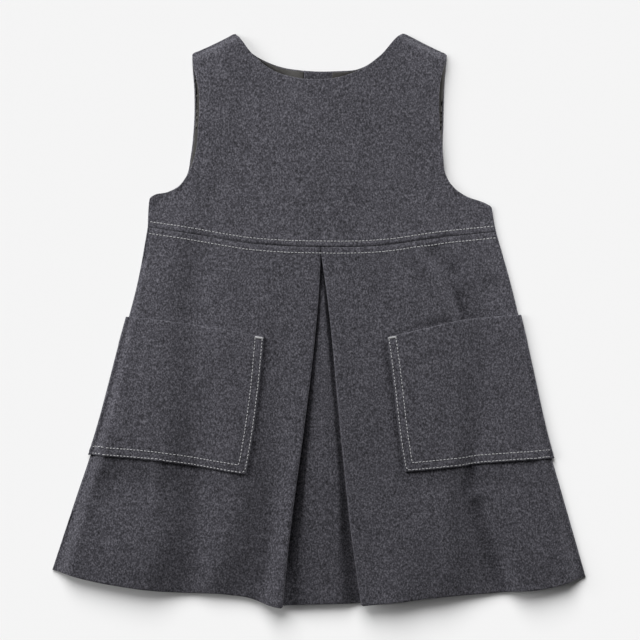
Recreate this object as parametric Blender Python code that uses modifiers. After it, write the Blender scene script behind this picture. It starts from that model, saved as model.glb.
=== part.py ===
"""A toddler's pinafore dress in wool flannel, buttoned at the back and laid flat.

Run it with: blender --background --python part.py

The dress lies on its back. Seen from above, +X is to the right, +Y runs from hem to neck and
+Z is up. The back rests on z = 0, and the origin is under the middle of the dress.
The tables are in millimetres; the mesh makers turn them into Blender's metres.
"Left" and "right" are as seen from above, looking down at the front.
"""

import math
from typing import NamedTuple

import bmesh
import bpy
import numpy as np

MM = 0.001

# Cloth
WOOL = 1.5  # thickness of the wool flannel
LINING = 1.0  # thickness of the lining that shows at the neck and armholes
SEAM_GAP = 0.3  # between two pieces where they are sewn
SEAM_SHIFT = 0.2  # along Y, of each piece's edge from the line of the waist seam
LAP_GAP = 0.4  # between layers that only lie on each other
LAYER = WOOL + SEAM_GAP  # from the middle of one wool layer to the middle of the next
BACK_Z = WOOL / 2  # middle of the back, which rests on the floor
SEAM_Z = BACK_Z + LAYER + 0.1  # middle of the front where it is sewn to the back

# Buttons and the back opening
BUTTON_ACROSS = 12.0
BUTTON_THICK = 2.4
BUTTON_RIM = 0.4  # height of the raised rim
BUTTON_HOLE = 1.6  # across each sewing hole
BUTTON_HOLE_SPREAD = 1.5  # of a hole from the button's centre, along X and along Y
BUTTON_HEIGHTS = (183.0, 138.0, 95.0)  # y of each button, from the neck down
# Half the button's outline, from its back to its hollowed face: (share of the radius, height)
BUTTON_PROFILE = (
    (0.0, BUTTON_THICK), (0.9, BUTTON_THICK), (1.0, BUTTON_THICK - 0.5), (1.0, 0.6),
    (0.92, 0.0), (0.74, 0.0), (0.64, BUTTON_RIM), (0.0, BUTTON_RIM),
)
OPENING_HALF = 12.0  # each back half reaches this far past the centre line
BUTTON_LIFT = BUTTON_THICK + SEAM_GAP  # how far the buttons lift the layers off the floor
LIFT_START, LIFT_LENGTH = 58.0, 29.0  # y where the lift begins, just above the waist, and its length

# Lining
LINING_INSET = 1.0  # back from the neck and armhole edges
LINING_SHOULDER_INSET = 8.0
LINING_FIRST_ROW = 5  # of the back's own rows, counted from the waist
LINING_FIRST_COLUMN = 2  # of the back's own columns, counted from the opening's edge

# The inverted pleat of the front skirt
PLEAT_DEPTH = 40.0  # from the fold's edge to the inner fold, at the waist
PLEAT_CLOSING = 0.25  # share of the opening by which each return is shorter where the pleat stands open
FOLD_RADIUS = LAYER / 2
FOLD_REACH = FOLD_RADIUS + WOOL / 2  # from the centre of a fold's bend to its outer face
FOLD_STEPS = 4  # straight facets round a bend
HEM_STEP = 1.5  # the underlay's hem ends this much higher than the faces'
HEM_STEP_POWER = 4  # above 1, the step dies out sooner above the hem
PLEAT_HOLLOW = 0.7  # share of the return under which the covered underlay lies low
CREST_SHARE = 0.7  # of half the opening, from a fold's edge to the underlay's crest where the pleat is narrow
CREST_OPENS = (5.0, 10.0)  # widths of the pleat's opening between which the crest rises

SEAM_LEDGE = 1.0  # width of the flat strip beside the side seam, before the front rises
SHOULDER_ROLL = 9.0  # width over which the front comes down to the shoulder seam
SHOULDER_SLOPE = math.radians(25.5)

# Finishes, as linear colours
WOOL_GREY, WOOL_ROUGHNESS = (0.075, 0.073, 0.084), 0.95
LINING_GREY, LINING_ROUGHNESS = (0.07, 0.068, 0.066), 0.7
RESIN_GREY, RESIN_ROUGHNESS = (0.05, 0.048, 0.05), 0.35

# Edges of the cut pieces: points (x, y) joined by a smooth curve.
WAIST = (
    (-134.2, 72.9), (-101.0, 67.9), (-54.2, 60.1), (0.8, 57.3), (47.2, 58.3), (94.0, 64.6), (137.9, 69.4),
)
SIDE_LEFT = (
    (-208.7, -194.6), (-190.7, -140.0), (-174.3, -91.0), (-155.5, -21.0), (-141.6, 32.0), (-134.2, 72.9),
)
SIDE_RIGHT = (
    (207.9, -200.1), (190.7, -140.0), (177.5, -93.2), (160.6, -18.3), (149.4, 28.5), (137.9, 69.4),
)
BODICE_SIDE_LEFT = ((-134.2, 72.9), (-133.8, 84.0), (-133.2, 92.4))
BODICE_SIDE_RIGHT = ((137.9, 69.4), (136.2, 78.0), (134.6, 85.4))
ARMHOLE_LEFT = (
    (-133.2, 92.4), (-132.3, 95.7), (-129.4, 97.8), (-118.2, 100.4), (-109.4, 105.2), (-104.1, 112.7),
    (-100.6, 129.0), (-98.3, 150.2), (-97.9, 180.0), (-99.8, 208.3),
)
ARMHOLE_RIGHT = (
    (134.6, 85.4), (132.9, 89.2), (128.8, 91.9), (111.9, 98.5), (103.2, 105.6), (98.7, 113.5),
    (96.6, 129.0), (96.9, 156.4), (97.9, 187.6), (99.5, 207.1),
)
SHOULDER_LEFT = ((-99.8, 208.3), (-82.3, 215.9), (-65.9, 223.6))
SHOULDER_RIGHT = ((65.1, 224.3), (82.3, 215.9), (99.5, 207.1))
FRONT_NECK = (
    (-65.9, 223.6), (-52.7, 208.7), (-34.7, 195.0), (-11.3, 188.2), (12.1, 188.8),
    (33.2, 196.2), (47.2, 206.3), (65.1, 224.3),
)
BACK_NECK = (
    (-65.9, 223.6), (-54.2, 210.2), (-37.0, 200.3), (-15.2, 195.2), (12.0, 194.3),
    (30.0, 196.2), (47.2, 206.3), (65.1, 224.3),
)
HEM_LEFT = (
    (-208.7, -194.6), (-179.0, -202.4), (-147.8, -207.9), (-108.8, -212.2), (-75.0, -213.4),
    (-55.0, -216.2), (-38.6, -221.9), (-29.0, -223.6),
)
HEM_RIGHT = (
    (31.0, -222.2), (55.0, -219.6), (94.0, -215.3), (140.8, -212.2), (179.8, -207.9), (207.9, -200.1),
)
HEM_BACK = (
    (-208.7, -194.6), (-150.0, -203.5), (-80.0, -209.0), (0.0, -213.0), (80.0, -210.5),
    (150.0, -206.5), (207.9, -200.1),
)
# Visible edges of the pleat, from the hem to the waist.
PLEAT_LEFT = (
    (-28.6, -223.6), (-22.8, -165.0), (-15.8, -112.0), (-9.5, -65.0), (-4.2, -20.0), (-0.6, 20.0),
    (0.4, 57.3),
)
PLEAT_RIGHT = (
    (32.4, -222.2), (24.4, -165.0), (18.8, -112.0), (14.2, -65.0), (10.2, -20.0), (5.8, 20.0),
    (1.2, 57.3),
)
# Edges of the pockets, run on across the skirt to the side seam, the pleat, the waist and the hem.
POCKET_BOTTOM_LEFT = (
    (-180.0, -104.8), (-132.2, -108.4), (-93.0, -114.3), (-57.4, -119.8), (-14.0, -124.0),
)
POCKET_TOP_LEFT = ((-150.0, 3.0), (-110.0, -1.5), (-72.0, -7.4), (-43.0, -12.5), (-3.0, -16.0))
POCKET_INNER_LEFT = (
    (-78.0, -214.0), (-57.4, -119.8), (-52.5, -92.0), (-47.0, -52.0), (-43.0, -12.5), (-36.0, 58.6),
)
POCKET_BOTTOM_RIGHT = (
    (14.0, -122.0), (66.5, -117.8), (94.0, -115.2), (125.2, -111.6), (182.0, -107.6),
)
POCKET_TOP_RIGHT = ((5.0, -18.0), (52.6, -12.5), (78.4, -7.0), (110.0, 0.2), (156.0, 4.6))
POCKET_INNER_RIGHT = (
    (84.0, -216.0), (66.5, -117.8), (61.5, -85.0), (57.0, -45.0), (52.6, -12.5), (44.0, 58.0),
)
# The rolled outer edge of a pocket: (distance past the side seam, height of the cloth's middle)
POCKET_ROLL = ((0.95, 4.2), (1.3, 3.2), (1.3, 2.0))


class FrontInset(NamedTuple):
    """How far a front armhole edge lies inside the back's, so that the lining shows behind it."""

    most: float
    starts: float  # y where it starts
    full: float  # y where it is widest
    narrows: float  # y from which it closes towards the shoulder


INSET_LEFT = FrontInset(3.6, 108.0, 132.0, 180.0)
INSET_RIGHT = FrontInset(3.0, 108.0, 155.0, 185.0)


class BackHalf(NamedTuple):
    """One half of the back. The distances are from the centre line towards the half's own side."""

    name: str
    side: int  # -1 for the left and 1 for the right
    armhole: tuple
    bodice_side: tuple
    shoulder: tuple  # from the neck out
    lining_end: float  # where the lining stops beside the opening
    lift_full: float  # as far as the buttons' full lift reaches
    lift_end: float  # where the half lies on the floor again
    under: float  # height of the layer under it at the opening


BACK_LEFT = BackHalf("left", -1, ARMHOLE_LEFT, BODICE_SIDE_LEFT, SHOULDER_LEFT[::-1], 13.5, 13.5, 27.5, 0.0)
BACK_RIGHT = BackHalf(
    "right", 1, ARMHOLE_RIGHT, BODICE_SIDE_RIGHT, SHOULDER_RIGHT, 10.0, 15.0, 39.0, WOOL + LAP_GAP
)


class FoldLine(NamedTuple):
    """A crest or a valley of the front: its x and the height z of the cloth's middle, at each of LEVELS."""

    name: str
    x: tuple
    z: tuple


# y of the columns of FOLD_LINES: hem, above the hem, low, pocket, waist, chest, neck
LEVELS = (-222.0, -188.0, -150.0, -50.0, 57.0, 110.0, 195.0)
FOLD_LINES = (
    FoldLine("left edge", (-193, -190, -180, -152, -129, -102, -92), (12.0, 10.8, 10.2, 6.6, 3.8, 4.4, 7.4)),
    FoldLine("left roll", (-142, -133, -126, -122, -113, -94, -84), (12.8, 13.4, 13.2, 9.0, 5.2, 4.7, 9.0)),
    FoldLine("left dip", (-100, -98, -96, -96, -94, -82, -74), (4.4, 4.8, 5.2, 4.4, 3.9, 4.7, 8.8)),
    FoldLine("left face", (-84, -76, -68, -64, -76, -62, -58), (5.0, 10.6, 11.2, 8.4, 5.6, 5.0, 8.0)),
    FoldLine("dip beside pleat", (-50, -42, -38, -36, -42, -40, -40), (6.4, 6.4, 6.4, 7.2, 7.3, 6.4, 7.8)),
    FoldLine("pleat left", (-30, -26, -22, -9, -3, -10, -12), (15.5, 14.2, 12.6, 10.6, 8.8, 8.6, 9.2)),
    FoldLine("pleat right", (34, 29, 23, 14, 4, 18, 20), (13.0, 11.5, 10.6, 10.0, 8.8, 9.0, 9.8)),
    FoldLine("right roll", (60, 62, 60, 48, 40, 46, 48), (17.0, 14.0, 11.5, 9.0, 7.8, 6.8, 9.8)),
    FoldLine("right crest", (84, 98, 100, 106, 90, 66, 60), (13.5, 12.5, 12.0, 9.6, 8.4, 5.8, 9.8)),
    FoldLine("right dip", (134, 129, 116, 128, 116, 82, 76), (5.6, 5.0, 5.6, 4.6, 4.8, 4.8, 9.6)),
    FoldLine("right lip", (158, 154, 138, 142, 124, 90, 84), (14.0, 12.6, 10.4, 6.8, 4.6, 4.7, 9.0)),
    FoldLine("right edge", (194, 188, 178, 154, 131, 101, 92), (12.5, 11.0, 9.2, 6.8, 3.8, 4.4, 7.2)),
)
# Heights of the underlay at LEVELS: under the left fold's edge, along its own crest, under the right one's
UNDERLAY_LEFT_Z = (9.5, 5.2, 3.2, 6.0, 2.8, 2.8, 2.8)
UNDERLAY_Z = (7.6, 7.2, 7.4, 8.0, 6.4, 2.8, 2.8)
UNDERLAY_RIGHT_Z = (3.2, 3.1, 3.2, 3.6, 2.8, 2.8, 2.8)
# How far the underlay's crest begins from the edge of the left and of the right fold, at LEVELS
CREST_LEFT = (6.0, 7.0, 9.0, 4.0, 3.0, 3.0, 3.0)
CREST_RIGHT = (17.0, 14.0, 8.0, 4.5, 3.0, 3.0, 3.0)
ARMHOLE_Z = 4.4  # height of the cloth's middle along the front's armhole edges
ARMHOLE_RISE = (84.0, 26.0)  # y where the side seam ends, and the length over which the edge rises


class Crease(NamedTuple):
    """A short soft trough pressed into the front, from (x0, y0) to (x1, y1)."""

    x0: float
    y0: float
    x1: float
    y1: float
    depth: float
    half_width: float
    spanned: bool  # whether the pocket's mouth runs straight over it


CREASES = (
    Crease(-98.0, 4.0, -97.0, 50.0, 1.0, 14.0, False),
    Crease(-154.0, -128.0, -134.0, -130.0, 3.4, 18.0, False),
    Crease(112.0, -2.0, 101.0, 37.0, 3.6, 9.0, True),
    Crease(101.0, 37.0, 88.0, 52.0, 2.8, 9.0, False),
    Crease(137.0, 26.0, 142.0, 26.0, 1.6, 9.0, False),
    Crease(106.0, -129.0, 134.0, -129.0, 1.6, 13.0, False),
    Crease(143.0, -205.0, 121.0, -146.0, 3.0, 11.0, False),
)
CREASE_FADE = 14.0  # from the side seam in, over which a crease reaches its depth


class Facets(NamedTuple):
    """How many facets a panel has between its named lines."""

    hem_to_pocket: int = 9
    pocket_height: int = 9
    pocket_to_waist: int = 7
    pocket_width: int = 13
    pocket_to_pleat: int = 6
    pleat_return: int = 3
    underlay: int = 8
    bodice_side: int = 2
    armhole: int = 14
    shoulder: int = 4
    front_neck: int = 16
    back_neck: int = 4
    lift_ramp: int = 4
    back_width: int = 16
    back_height: int = 8
    button_round: int = 24
    button_hole: int = 10


FACETS = Facets()
SIDE_CROWDING = 1.35  # above 1, the skirt's columns lie closer together near the side seam
OUTLINE_STEPS = 400  # points of a smooth curve before it is cut and resampled
CROSSING_TURNS = 12  # times that a crossing of two curves is looked up on each of them in turn
SLOPE_PROBE = 1.5  # half the distance over which the front's slope is measured


def clamp01(t):
    return np.clip(t, 0.0, 1.0)


def smooth(t):
    """0 to 1 with flat ends."""
    t = clamp01(t)
    return t * t * (3 - 2 * t)


def ramp(value, start, end):
    return smooth((value - start) / (end - start))


def hermite(knots, values, at):
    """A smooth curve through (knots, values), with the slope at each knot from its neighbours."""
    knots, values, at = (np.asarray(v, float) for v in (knots, values, at))
    slopes = np.gradient(values, knots)
    at = np.clip(at, knots[0], knots[-1])
    i = np.clip(np.searchsorted(knots, at, side="right") - 1, 0, len(knots) - 2)
    step = knots[i + 1] - knots[i]
    t = (at - knots[i]) / step
    return (
        (1 + 2 * t) * (1 - t) ** 2 * values[i]
        + t * (1 - t) ** 2 * step * slopes[i]
        + t * t * (3 - 2 * t) * values[i + 1]
        + t * t * (t - 1) * step * slopes[i + 1]
    )


def curve(points, count):
    """count + 1 points, evenly spaced, along the smooth curve through the points."""
    points = np.asarray(points, float)
    steps = np.linalg.norm(np.diff(points, axis=0), axis=1)
    along = np.concatenate([[0.0], np.cumsum(steps)])
    at = np.linspace(0.0, along[-1], count + 1)
    return np.stack([hermite(along, points[:, k], at) for k in (0, 1)], axis=1)


def on_curve(points, axis, values):
    """Points of the smooth curve at the given values of x (axis 0) or y (axis 1)."""
    fine = curve(points, OUTLINE_STEPS)
    fine = fine[np.argsort(fine[:, axis])]
    found = np.empty((len(values), 2))
    found[:, axis] = values
    found[:, 1 - axis] = np.interp(values, fine[:, axis], fine[:, 1 - axis])
    return found


def crossing(across, up):
    """Where a curve that runs along X meets one that runs along Y."""
    point = np.array([[0.0, np.mean([p[1] for p in across])]])
    for _ in range(CROSSING_TURNS):
        point = on_curve(up, 1, point[:, 1])
        point = on_curve(across, 0, point[:, 0])
    return point[0]


def chain(*parts):
    """Curves joined end to end, each given as (points, count), so that corners stay sharp."""
    sampled = [curve(points, count) for points, count in parts]
    return np.concatenate([sampled[0]] + [s[1:] for s in sampled[1:]])


def coons(bottom, top, left, right, shares=None):
    """The grid of points between four edges that share their corners, in rows from bottom to top.

    shares says how far across each column lies, from 0 at the left edge to 1 at the right.
    """
    u = (np.linspace(0, 1, len(bottom)) if shares is None else shares)[None, :, None]
    v = np.linspace(0, 1, len(left))[:, None, None]
    across = (1 - v) * bottom[None] + v * top[None]
    up = (1 - u) * left[:, None] + u * right[:, None]
    corners = (
        (1 - u) * (1 - v) * bottom[0] + u * (1 - v) * bottom[-1] + (1 - u) * v * top[0] + u * v * top[-1]
    )
    return across + up - corners


def patchwork(lines_across, lines_up, row_counts, column_shares):
    """One grid over a quilt of patches, between lines that run along X and lines that run along Y."""
    corners = [[crossing(across, up) for up in lines_up] for across in lines_across]
    bands = []
    for row, count in enumerate(row_counts):
        band = []
        for column, shares in enumerate(column_shares):
            (low_left, low_right), (high_left, high_right) = (
                corners[row][column : column + 2],
                corners[row + 1][column : column + 2],
            )
            up = np.linspace(0, 1, count + 1)
            bottom = on_curve(lines_across[row], 0, low_left[0] + (low_right[0] - low_left[0]) * shares)
            top = on_curve(lines_across[row + 1], 0, high_left[0] + (high_right[0] - high_left[0]) * shares)
            left = on_curve(lines_up[column], 1, low_left[1] + (high_left[1] - low_left[1]) * up)
            right = on_curve(lines_up[column + 1], 1, low_right[1] + (high_right[1] - low_right[1]) * up)
            for edge, ends in (
                (bottom, (low_left, low_right)), (top, (high_left, high_right)),
                (left, (low_left, high_left)), (right, (low_right, high_right)),
            ):
                edge[0], edge[-1] = ends
            patch = coons(bottom, top, left, right, shares)
            band.append(patch if column == 0 else patch[:, 1:])
        band = np.concatenate(band, axis=1)
        bands.append(band if row == 0 else band[1:])
    return np.concatenate(bands, axis=0)


def shifted(points, dx, dy):
    return tuple((x + dx, y + dy) for x, y in points)


def edge_x(side, armhole, y):
    """x of the dress's edge at height y."""
    points = sorted(side + armhole, key=lambda p: p[1])
    return np.interp(y, [p[1] for p in points], [p[0] for p in points])


def shoulder_distance(x, y):
    """How far a point lies below the shoulder seam; large away from the shoulders."""
    neck, tip = SHOULDER_RIGHT[0], SHOULDER_RIGHT[-1]
    seam = np.interp(np.abs(x), (neck[0], tip[0]), (neck[1], tip[1]))
    away = (neck[0] - np.abs(x)).clip(0.0)
    return (seam - y) * math.cos(SHOULDER_SLOPE) + away


def crease_depth(x, y, spanning):
    """How far the deepest crease presses the front down at a point."""
    pressed = [np.zeros_like(x)]
    for crease in CREASES:
        if spanning and crease.spanned:
            continue
        dx, dy = crease.x1 - crease.x0, crease.y1 - crease.y0
        t = clamp01(((x - crease.x0) * dx + (y - crease.y0) * dy) / (dx * dx + dy * dy))
        away = np.hypot(x - crease.x0 - t * dx, y - crease.y0 - t * dy)
        pressed.append(crease.depth * np.exp(-((away / crease.half_width) ** 2)))
    return np.maximum.reduce(pressed)


def front_height(x, y, spanning=False):
    """Height of the middle of the front's cloth. It rises and falls between neighbouring fold lines.

    spanning leaves out the creases that a pocket's mouth runs straight over.
    """
    start, length = ARMHOLE_RISE
    edge_z = SEAM_Z + (ARMHOLE_Z - SEAM_Z) * ramp(y, start, start + length)
    left = edge_x(SIDE_LEFT + BODICE_SIDE_LEFT, ARMHOLE_LEFT, y) + SEAM_LEDGE
    right = edge_x(SIDE_RIGHT + BODICE_SIDE_RIGHT, ARMHOLE_RIGHT, y) - SEAM_LEDGE
    lines = [(left, edge_z)]
    lines += [(hermite(LEVELS, line.x, y), hermite(LEVELS, line.z, y)) for line in FOLD_LINES]
    lines += [(right, edge_z)]
    z = np.array(edge_z, float)
    for (x0, z0), (x1, z1) in zip(lines, lines[1:]):
        z = np.where((x >= x0) & (x <= x1), z0 + (z1 - z0) * ramp(x, x0, x1), z)
    inside = ramp(np.minimum(x - left, right - x), 0.0, CREASE_FADE)
    z = np.maximum(z - crease_depth(x, y, spanning) * inside, SEAM_Z)
    return SEAM_Z + (z - SEAM_Z) * smooth(shoulder_distance(x, y) / SHOULDER_ROLL)


def front_frame(x, y, spanning=False):
    """Point, unit normal and unit tangent along X of the front's middle surface."""
    right, left = (front_height(x + step, y, spanning) for step in (SLOPE_PROBE, -SLOPE_PROBE))
    above, below = (front_height(x, y + step, spanning) for step in (SLOPE_PROBE, -SLOPE_PROBE))
    slope_x = (right - left) / (2 * SLOPE_PROBE)
    slope_y = (above - below) / (2 * SLOPE_PROBE)
    point = np.stack([x, y, front_height(x, y, spanning)], axis=-1)
    normal = np.stack([-slope_x, -slope_y, np.ones_like(x)], axis=-1)
    tangent = np.stack([np.ones_like(x), np.zeros_like(x), slope_x], axis=-1)
    units = [v / np.linalg.norm(v, axis=-1, keepdims=True) for v in (normal, tangent)]
    return point, units[0], units[1]


def lift(y):
    return BUTTON_LIFT * ramp(y, LIFT_START, LIFT_START + LIFT_LENGTH)


def back_height(half, x, y):
    """Height of the middle of a back half. The left one lies on the buttons and the right one on the left."""
    return BACK_Z + (half.under + lift(y)) * (1 - ramp(half.side * x, half.lift_full, half.lift_end))


def material(name, colour, roughness):
    made = bpy.data.materials.new(name)
    made.use_nodes = True
    shader = made.node_tree.nodes["Principled BSDF"]
    shader.inputs["Base Color"].default_value = (*colour, 1.0)
    shader.inputs["Roughness"].default_value = roughness
    shader.inputs["Metallic"].default_value = 0.0
    made.diffuse_color = (*colour, 1.0)
    return made


def cloth_panel(name, points, thickness, finish, collection):
    """A grid of middle points as an open surface, given its wall by Solidify."""
    rows, columns = points.shape[:2]
    corner = np.arange(rows * columns).reshape(rows, columns)
    faces = np.stack([corner[:-1, :-1], corner[:-1, 1:], corner[1:, 1:], corner[1:, :-1]], axis=-1)
    mesh = bpy.data.meshes.new(name)
    mesh.from_pydata((points.reshape(-1, 3) * MM).tolist(), [], faces.reshape(-1, 4).tolist())
    mesh.shade_smooth()
    mesh.materials.append(finish)
    panel = bpy.data.objects.new(name, mesh)
    collection.objects.link(panel)
    wall = panel.modifiers.new("wall", "SOLIDIFY")
    wall.thickness = thickness * MM
    wall.offset = 0.0
    wall.use_even_offset = True
    wall.use_quality_normals = True
    return panel


def lifted(grid, height):
    """A flat grid of (x, y) given heights by a function of x and y."""
    return np.dstack([grid, height(grid[..., 0], grid[..., 1])])


def front_armhole(armhole, inset, side):
    """The front's armhole edge: the back's, moved in by the inset."""
    x, y = np.array(armhole).T
    share = ramp(y, inset.starts, inset.full) * (1 - ramp(y, inset.narrows, y[-1]))
    return tuple(zip(x - side * inset.most * share, y))


def front_bodice_points():
    f = FACETS
    bottom = curve(shifted(WAIST, 0, SEAM_SHIFT), 2 * f.shoulder + f.front_neck)
    top = chain((SHOULDER_LEFT, f.shoulder), (FRONT_NECK, f.front_neck), (SHOULDER_RIGHT, f.shoulder))
    left = chain(
        (BODICE_SIDE_LEFT, f.bodice_side), (front_armhole(ARMHOLE_LEFT, INSET_LEFT, -1), f.armhole)
    )
    right = chain(
        (BODICE_SIDE_RIGHT, f.bodice_side), (front_armhole(ARMHOLE_RIGHT, INSET_RIGHT, 1), f.armhole)
    )
    left[0], right[0] = bottom[0], bottom[-1]
    return lifted(coons(bottom, top, left, right), front_height)


def back_bodice_grid(half):
    """Half of the back bodice, in columns from the opening's edge out.

    The columns near the opening are straight, so that they follow the lift over the buttons.
    """
    f = FACETS
    waist = shifted(WAIST, 0, SEAM_SHIFT)
    rows = f.bodice_side + f.armhole
    near = np.linspace(half.lift_full, half.lift_end, f.lift_ramp + 1)
    near = half.side * np.unique(np.concatenate([[-OPENING_HALF, 0.0, half.lining_end], near]))
    bottom, top = on_curve(waist, 0, near), on_curve(BACK_NECK, 0, near)
    straight = [curve((low, high), rows) for low, high in zip(bottom, top)]
    by_opening = coons(bottom, top, straight[0], straight[-1], (near - near[0]) / (near[-1] - near[0]))
    waist_x = np.linspace(near[-1], half.bodice_side[0][0], f.back_neck + f.shoulder + 1)
    neck_x = np.linspace(near[-1], half.shoulder[0][0], f.back_neck + 1)
    bottom = on_curve(waist, 0, waist_x)
    top = np.concatenate([on_curve(BACK_NECK, 0, neck_x), curve(half.shoulder, f.shoulder)[1:]])
    outer = chain((half.bodice_side, f.bodice_side), (half.armhole, f.armhole))
    outer[0] = bottom[-1]
    to_armhole = coons(bottom, top, straight[-1], outer)
    return np.concatenate([by_opening, to_armhole[:, 1:]], axis=1)


def back_lining_grid(back):
    """The lining of one back half, from the back's own points: its edges are moved in and the rows follow."""
    grid = back[LINING_FIRST_ROW:, LINING_FIRST_COLUMN:].copy()
    rows, columns = grid.shape[:2]
    up = np.linspace(0, 1, rows)[:, None]
    out = np.linspace(0, 1, columns)[None, :]
    neck_point = SHOULDER_RIGHT[0][0]
    at_shoulder = ramp(np.abs(grid[-1, :, 0]), neck_point - LINING_SHOULDER_INSET, neck_point)
    drop = LINING_INSET + (LINING_SHOULDER_INSET - LINING_INSET) * at_shoulder
    grid[..., 0] -= np.sign(grid[..., 0]) * LINING_INSET * out
    grid[..., 1] -= drop[None, :] * up
    return grid


def back_points(half):
    """Middle points of a back half and of its lining, in columns from left to right."""
    grid = back_bodice_grid(half)
    back = lifted(grid, lambda x, y: back_height(half, x, y))
    above = WOOL / 2 + LAP_GAP + LINING / 2
    inside = lifted(back_lining_grid(grid), lambda x, y: above + back_height(half, x, y))
    return (back[:, ::-1], inside[:, ::-1]) if half.side < 0 else (back, inside)


def back_skirt_points():
    f = FACETS
    bottom = curve(HEM_BACK, f.back_width)
    top = curve(shifted(WAIST, 0, -SEAM_SHIFT), f.back_width)
    left = curve(SIDE_LEFT, f.back_height)
    right = curve(SIDE_RIGHT, f.back_height)
    left[-1], right[-1] = top[0], top[-1]
    return lifted(coons(bottom, top, left, right), lambda x, y: np.full_like(x, BACK_Z))


def bend(centre, normal, tangent, outward):
    """Middle points round a fold's bend, without its two ends: outward is 1 towards +X and -1 towards -X."""
    angles = np.pi / 2 - np.pi * np.arange(1, FOLD_STEPS) / FOLD_STEPS
    turn = outward * FOLD_RADIUS * np.cos(angles)[None, :, None] * tangent[:, None]
    return centre[:, None] + turn + FOLD_RADIUS * np.sin(angles)[None, :, None] * normal[:, None]


def face_grid(side):
    """One face of the front skirt, from the side seam to the middle of its pleat's bend."""
    f = FACETS
    rows = (f.hem_to_pocket, f.pocket_height, f.pocket_to_waist)
    wide = np.linspace(0, 1, f.pocket_width + 1) ** SIDE_CROWDING
    narrow = np.linspace(0, 1, f.pocket_to_pleat + 1)
    waist = shifted(WAIST, 0, -SEAM_SHIFT)
    if side < 0:
        across = (HEM_LEFT, POCKET_BOTTOM_LEFT, POCKET_TOP_LEFT, waist)
        up = (SIDE_LEFT, POCKET_INNER_LEFT, shifted(PLEAT_LEFT, -FOLD_REACH, 0))
        return patchwork(across, up, rows, (wide, narrow))
    across = (HEM_RIGHT, POCKET_BOTTOM_RIGHT, POCKET_TOP_RIGHT, waist)
    up = (shifted(PLEAT_RIGHT, FOLD_REACH, 0), POCKET_INNER_RIGHT, SIDE_RIGHT)
    return patchwork(across, up, rows, (narrow, 1 - wide[::-1]))


def folded_under(face, side, depth):
    """The layers under one face of the skirt: its bend, the return, the inner bend, the covered underlay."""
    edge = face[:, -1] if side < 0 else face[:, 0]
    share = np.linspace(0, 1, FACETS.pleat_return + 1)
    run_x = edge[:, :1] + side * depth[:, None] * share
    run_y = np.array([np.interp(xs, row[:, 0], row[:, 1]) for xs, row in zip(run_x, face)])
    point, normal, tangent = front_frame(run_x, run_y)
    outer_bend = bend(point[:, 0] - FOLD_RADIUS * normal[:, 0], normal[:, 0], tangent[:, 0], -side)
    returned = point - LAYER * normal
    inner_centre = point[:, -1] - (LAYER + FOLD_RADIUS) * normal[:, -1]
    inner_bend = bend(inner_centre, normal[:, -1], tangent[:, -1], side)
    covered = (point - 2 * LAYER * normal)[:, ::-1]
    low = hermite(LEVELS, UNDERLAY_LEFT_Z if side < 0 else UNDERLAY_RIGHT_Z, covered[..., 1])
    sag = 1 - ramp(share[::-1], 0.0, PLEAT_HOLLOW)
    covered[..., 2] += np.minimum(low - covered[..., 2], 0.0) * sag[None, :]
    layers = np.concatenate([outer_bend, returned, inner_bend, covered], axis=1)
    # The folded layers end a little higher than the face's own hem.
    near_hem = np.linspace(1, 0, len(layers))[:, None] ** HEM_STEP_POWER
    past_bend = clamp01(np.arange(1, layers.shape[1] + 1) / FOLD_STEPS)[None, :]
    layers[..., 1] += HEM_STEP * near_hem * past_bend
    return layers


def front_skirt_points(faces):
    """Middle points of the whole front skirt, in rows from hem to waist, from left to right in the cloth."""
    open_width = faces[1][:, 0, 0] - faces[0][:, -1, 0]
    depth = PLEAT_DEPTH - open_width * PLEAT_CLOSING
    left, right = (folded_under(face, side, depth) for face, side in zip(faces, (-1, 1)))
    share = np.linspace(0, 1, FACETS.underlay + 1)[1:-1]
    shown = left[:, -1:] * (1 - share[None, :, None]) + right[:, -1:] * share[None, :, None]
    crest = hermite(LEVELS, UNDERLAY_Z, shown[..., 1])
    narrow = np.maximum(CREST_SHARE * (open_width / 2 - FOLD_REACH), 1.0)[:, None]
    risen = ramp(open_width, *CREST_OPENS)[:, None]
    for across, reaches in ((share, CREST_LEFT), (1 - share, CREST_RIGHT)):
        past_fold = across[None, :] * open_width[:, None] - FOLD_REACH
        risen = risen * smooth(past_fold / np.minimum(narrow, hermite(LEVELS, reaches, shown[..., 1])))
    shown[..., 2] += (crest - shown[..., 2]) * risen
    parts = [lifted(faces[0], front_height), left, shown, right[:, ::-1], lifted(faces[1], front_height)]
    return np.concatenate(parts, axis=1)


def pocket_points(face, side):
    """A pocket's middle points: the skirt's own moved out, and an outer edge rolled over the side seam.

    The pocket's mouth runs straight over the creases that it spans.
    """
    f = FACETS
    rows = slice(f.hem_to_pocket, f.hem_to_pocket + f.pocket_height + 1)
    columns = slice(0, f.pocket_width + 1) if side < 0 else slice(f.pocket_to_pleat, None)
    grid = face[rows, columns]
    point, normal, _ = front_frame(grid[..., 0], grid[..., 1], spanning=True)
    body = point + (WOOL + LAP_GAP) * normal
    seam = point[:, 0] if side < 0 else point[:, -1]
    past_seam, heights = np.array(POCKET_ROLL).T
    rolled = np.repeat(seam[:, None], len(POCKET_ROLL), axis=1)
    rolled[..., 0] += side * past_seam
    rolled[..., 2] = heights
    return np.concatenate([rolled[:, ::-1], body] if side < 0 else [body, rolled], axis=1)


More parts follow.
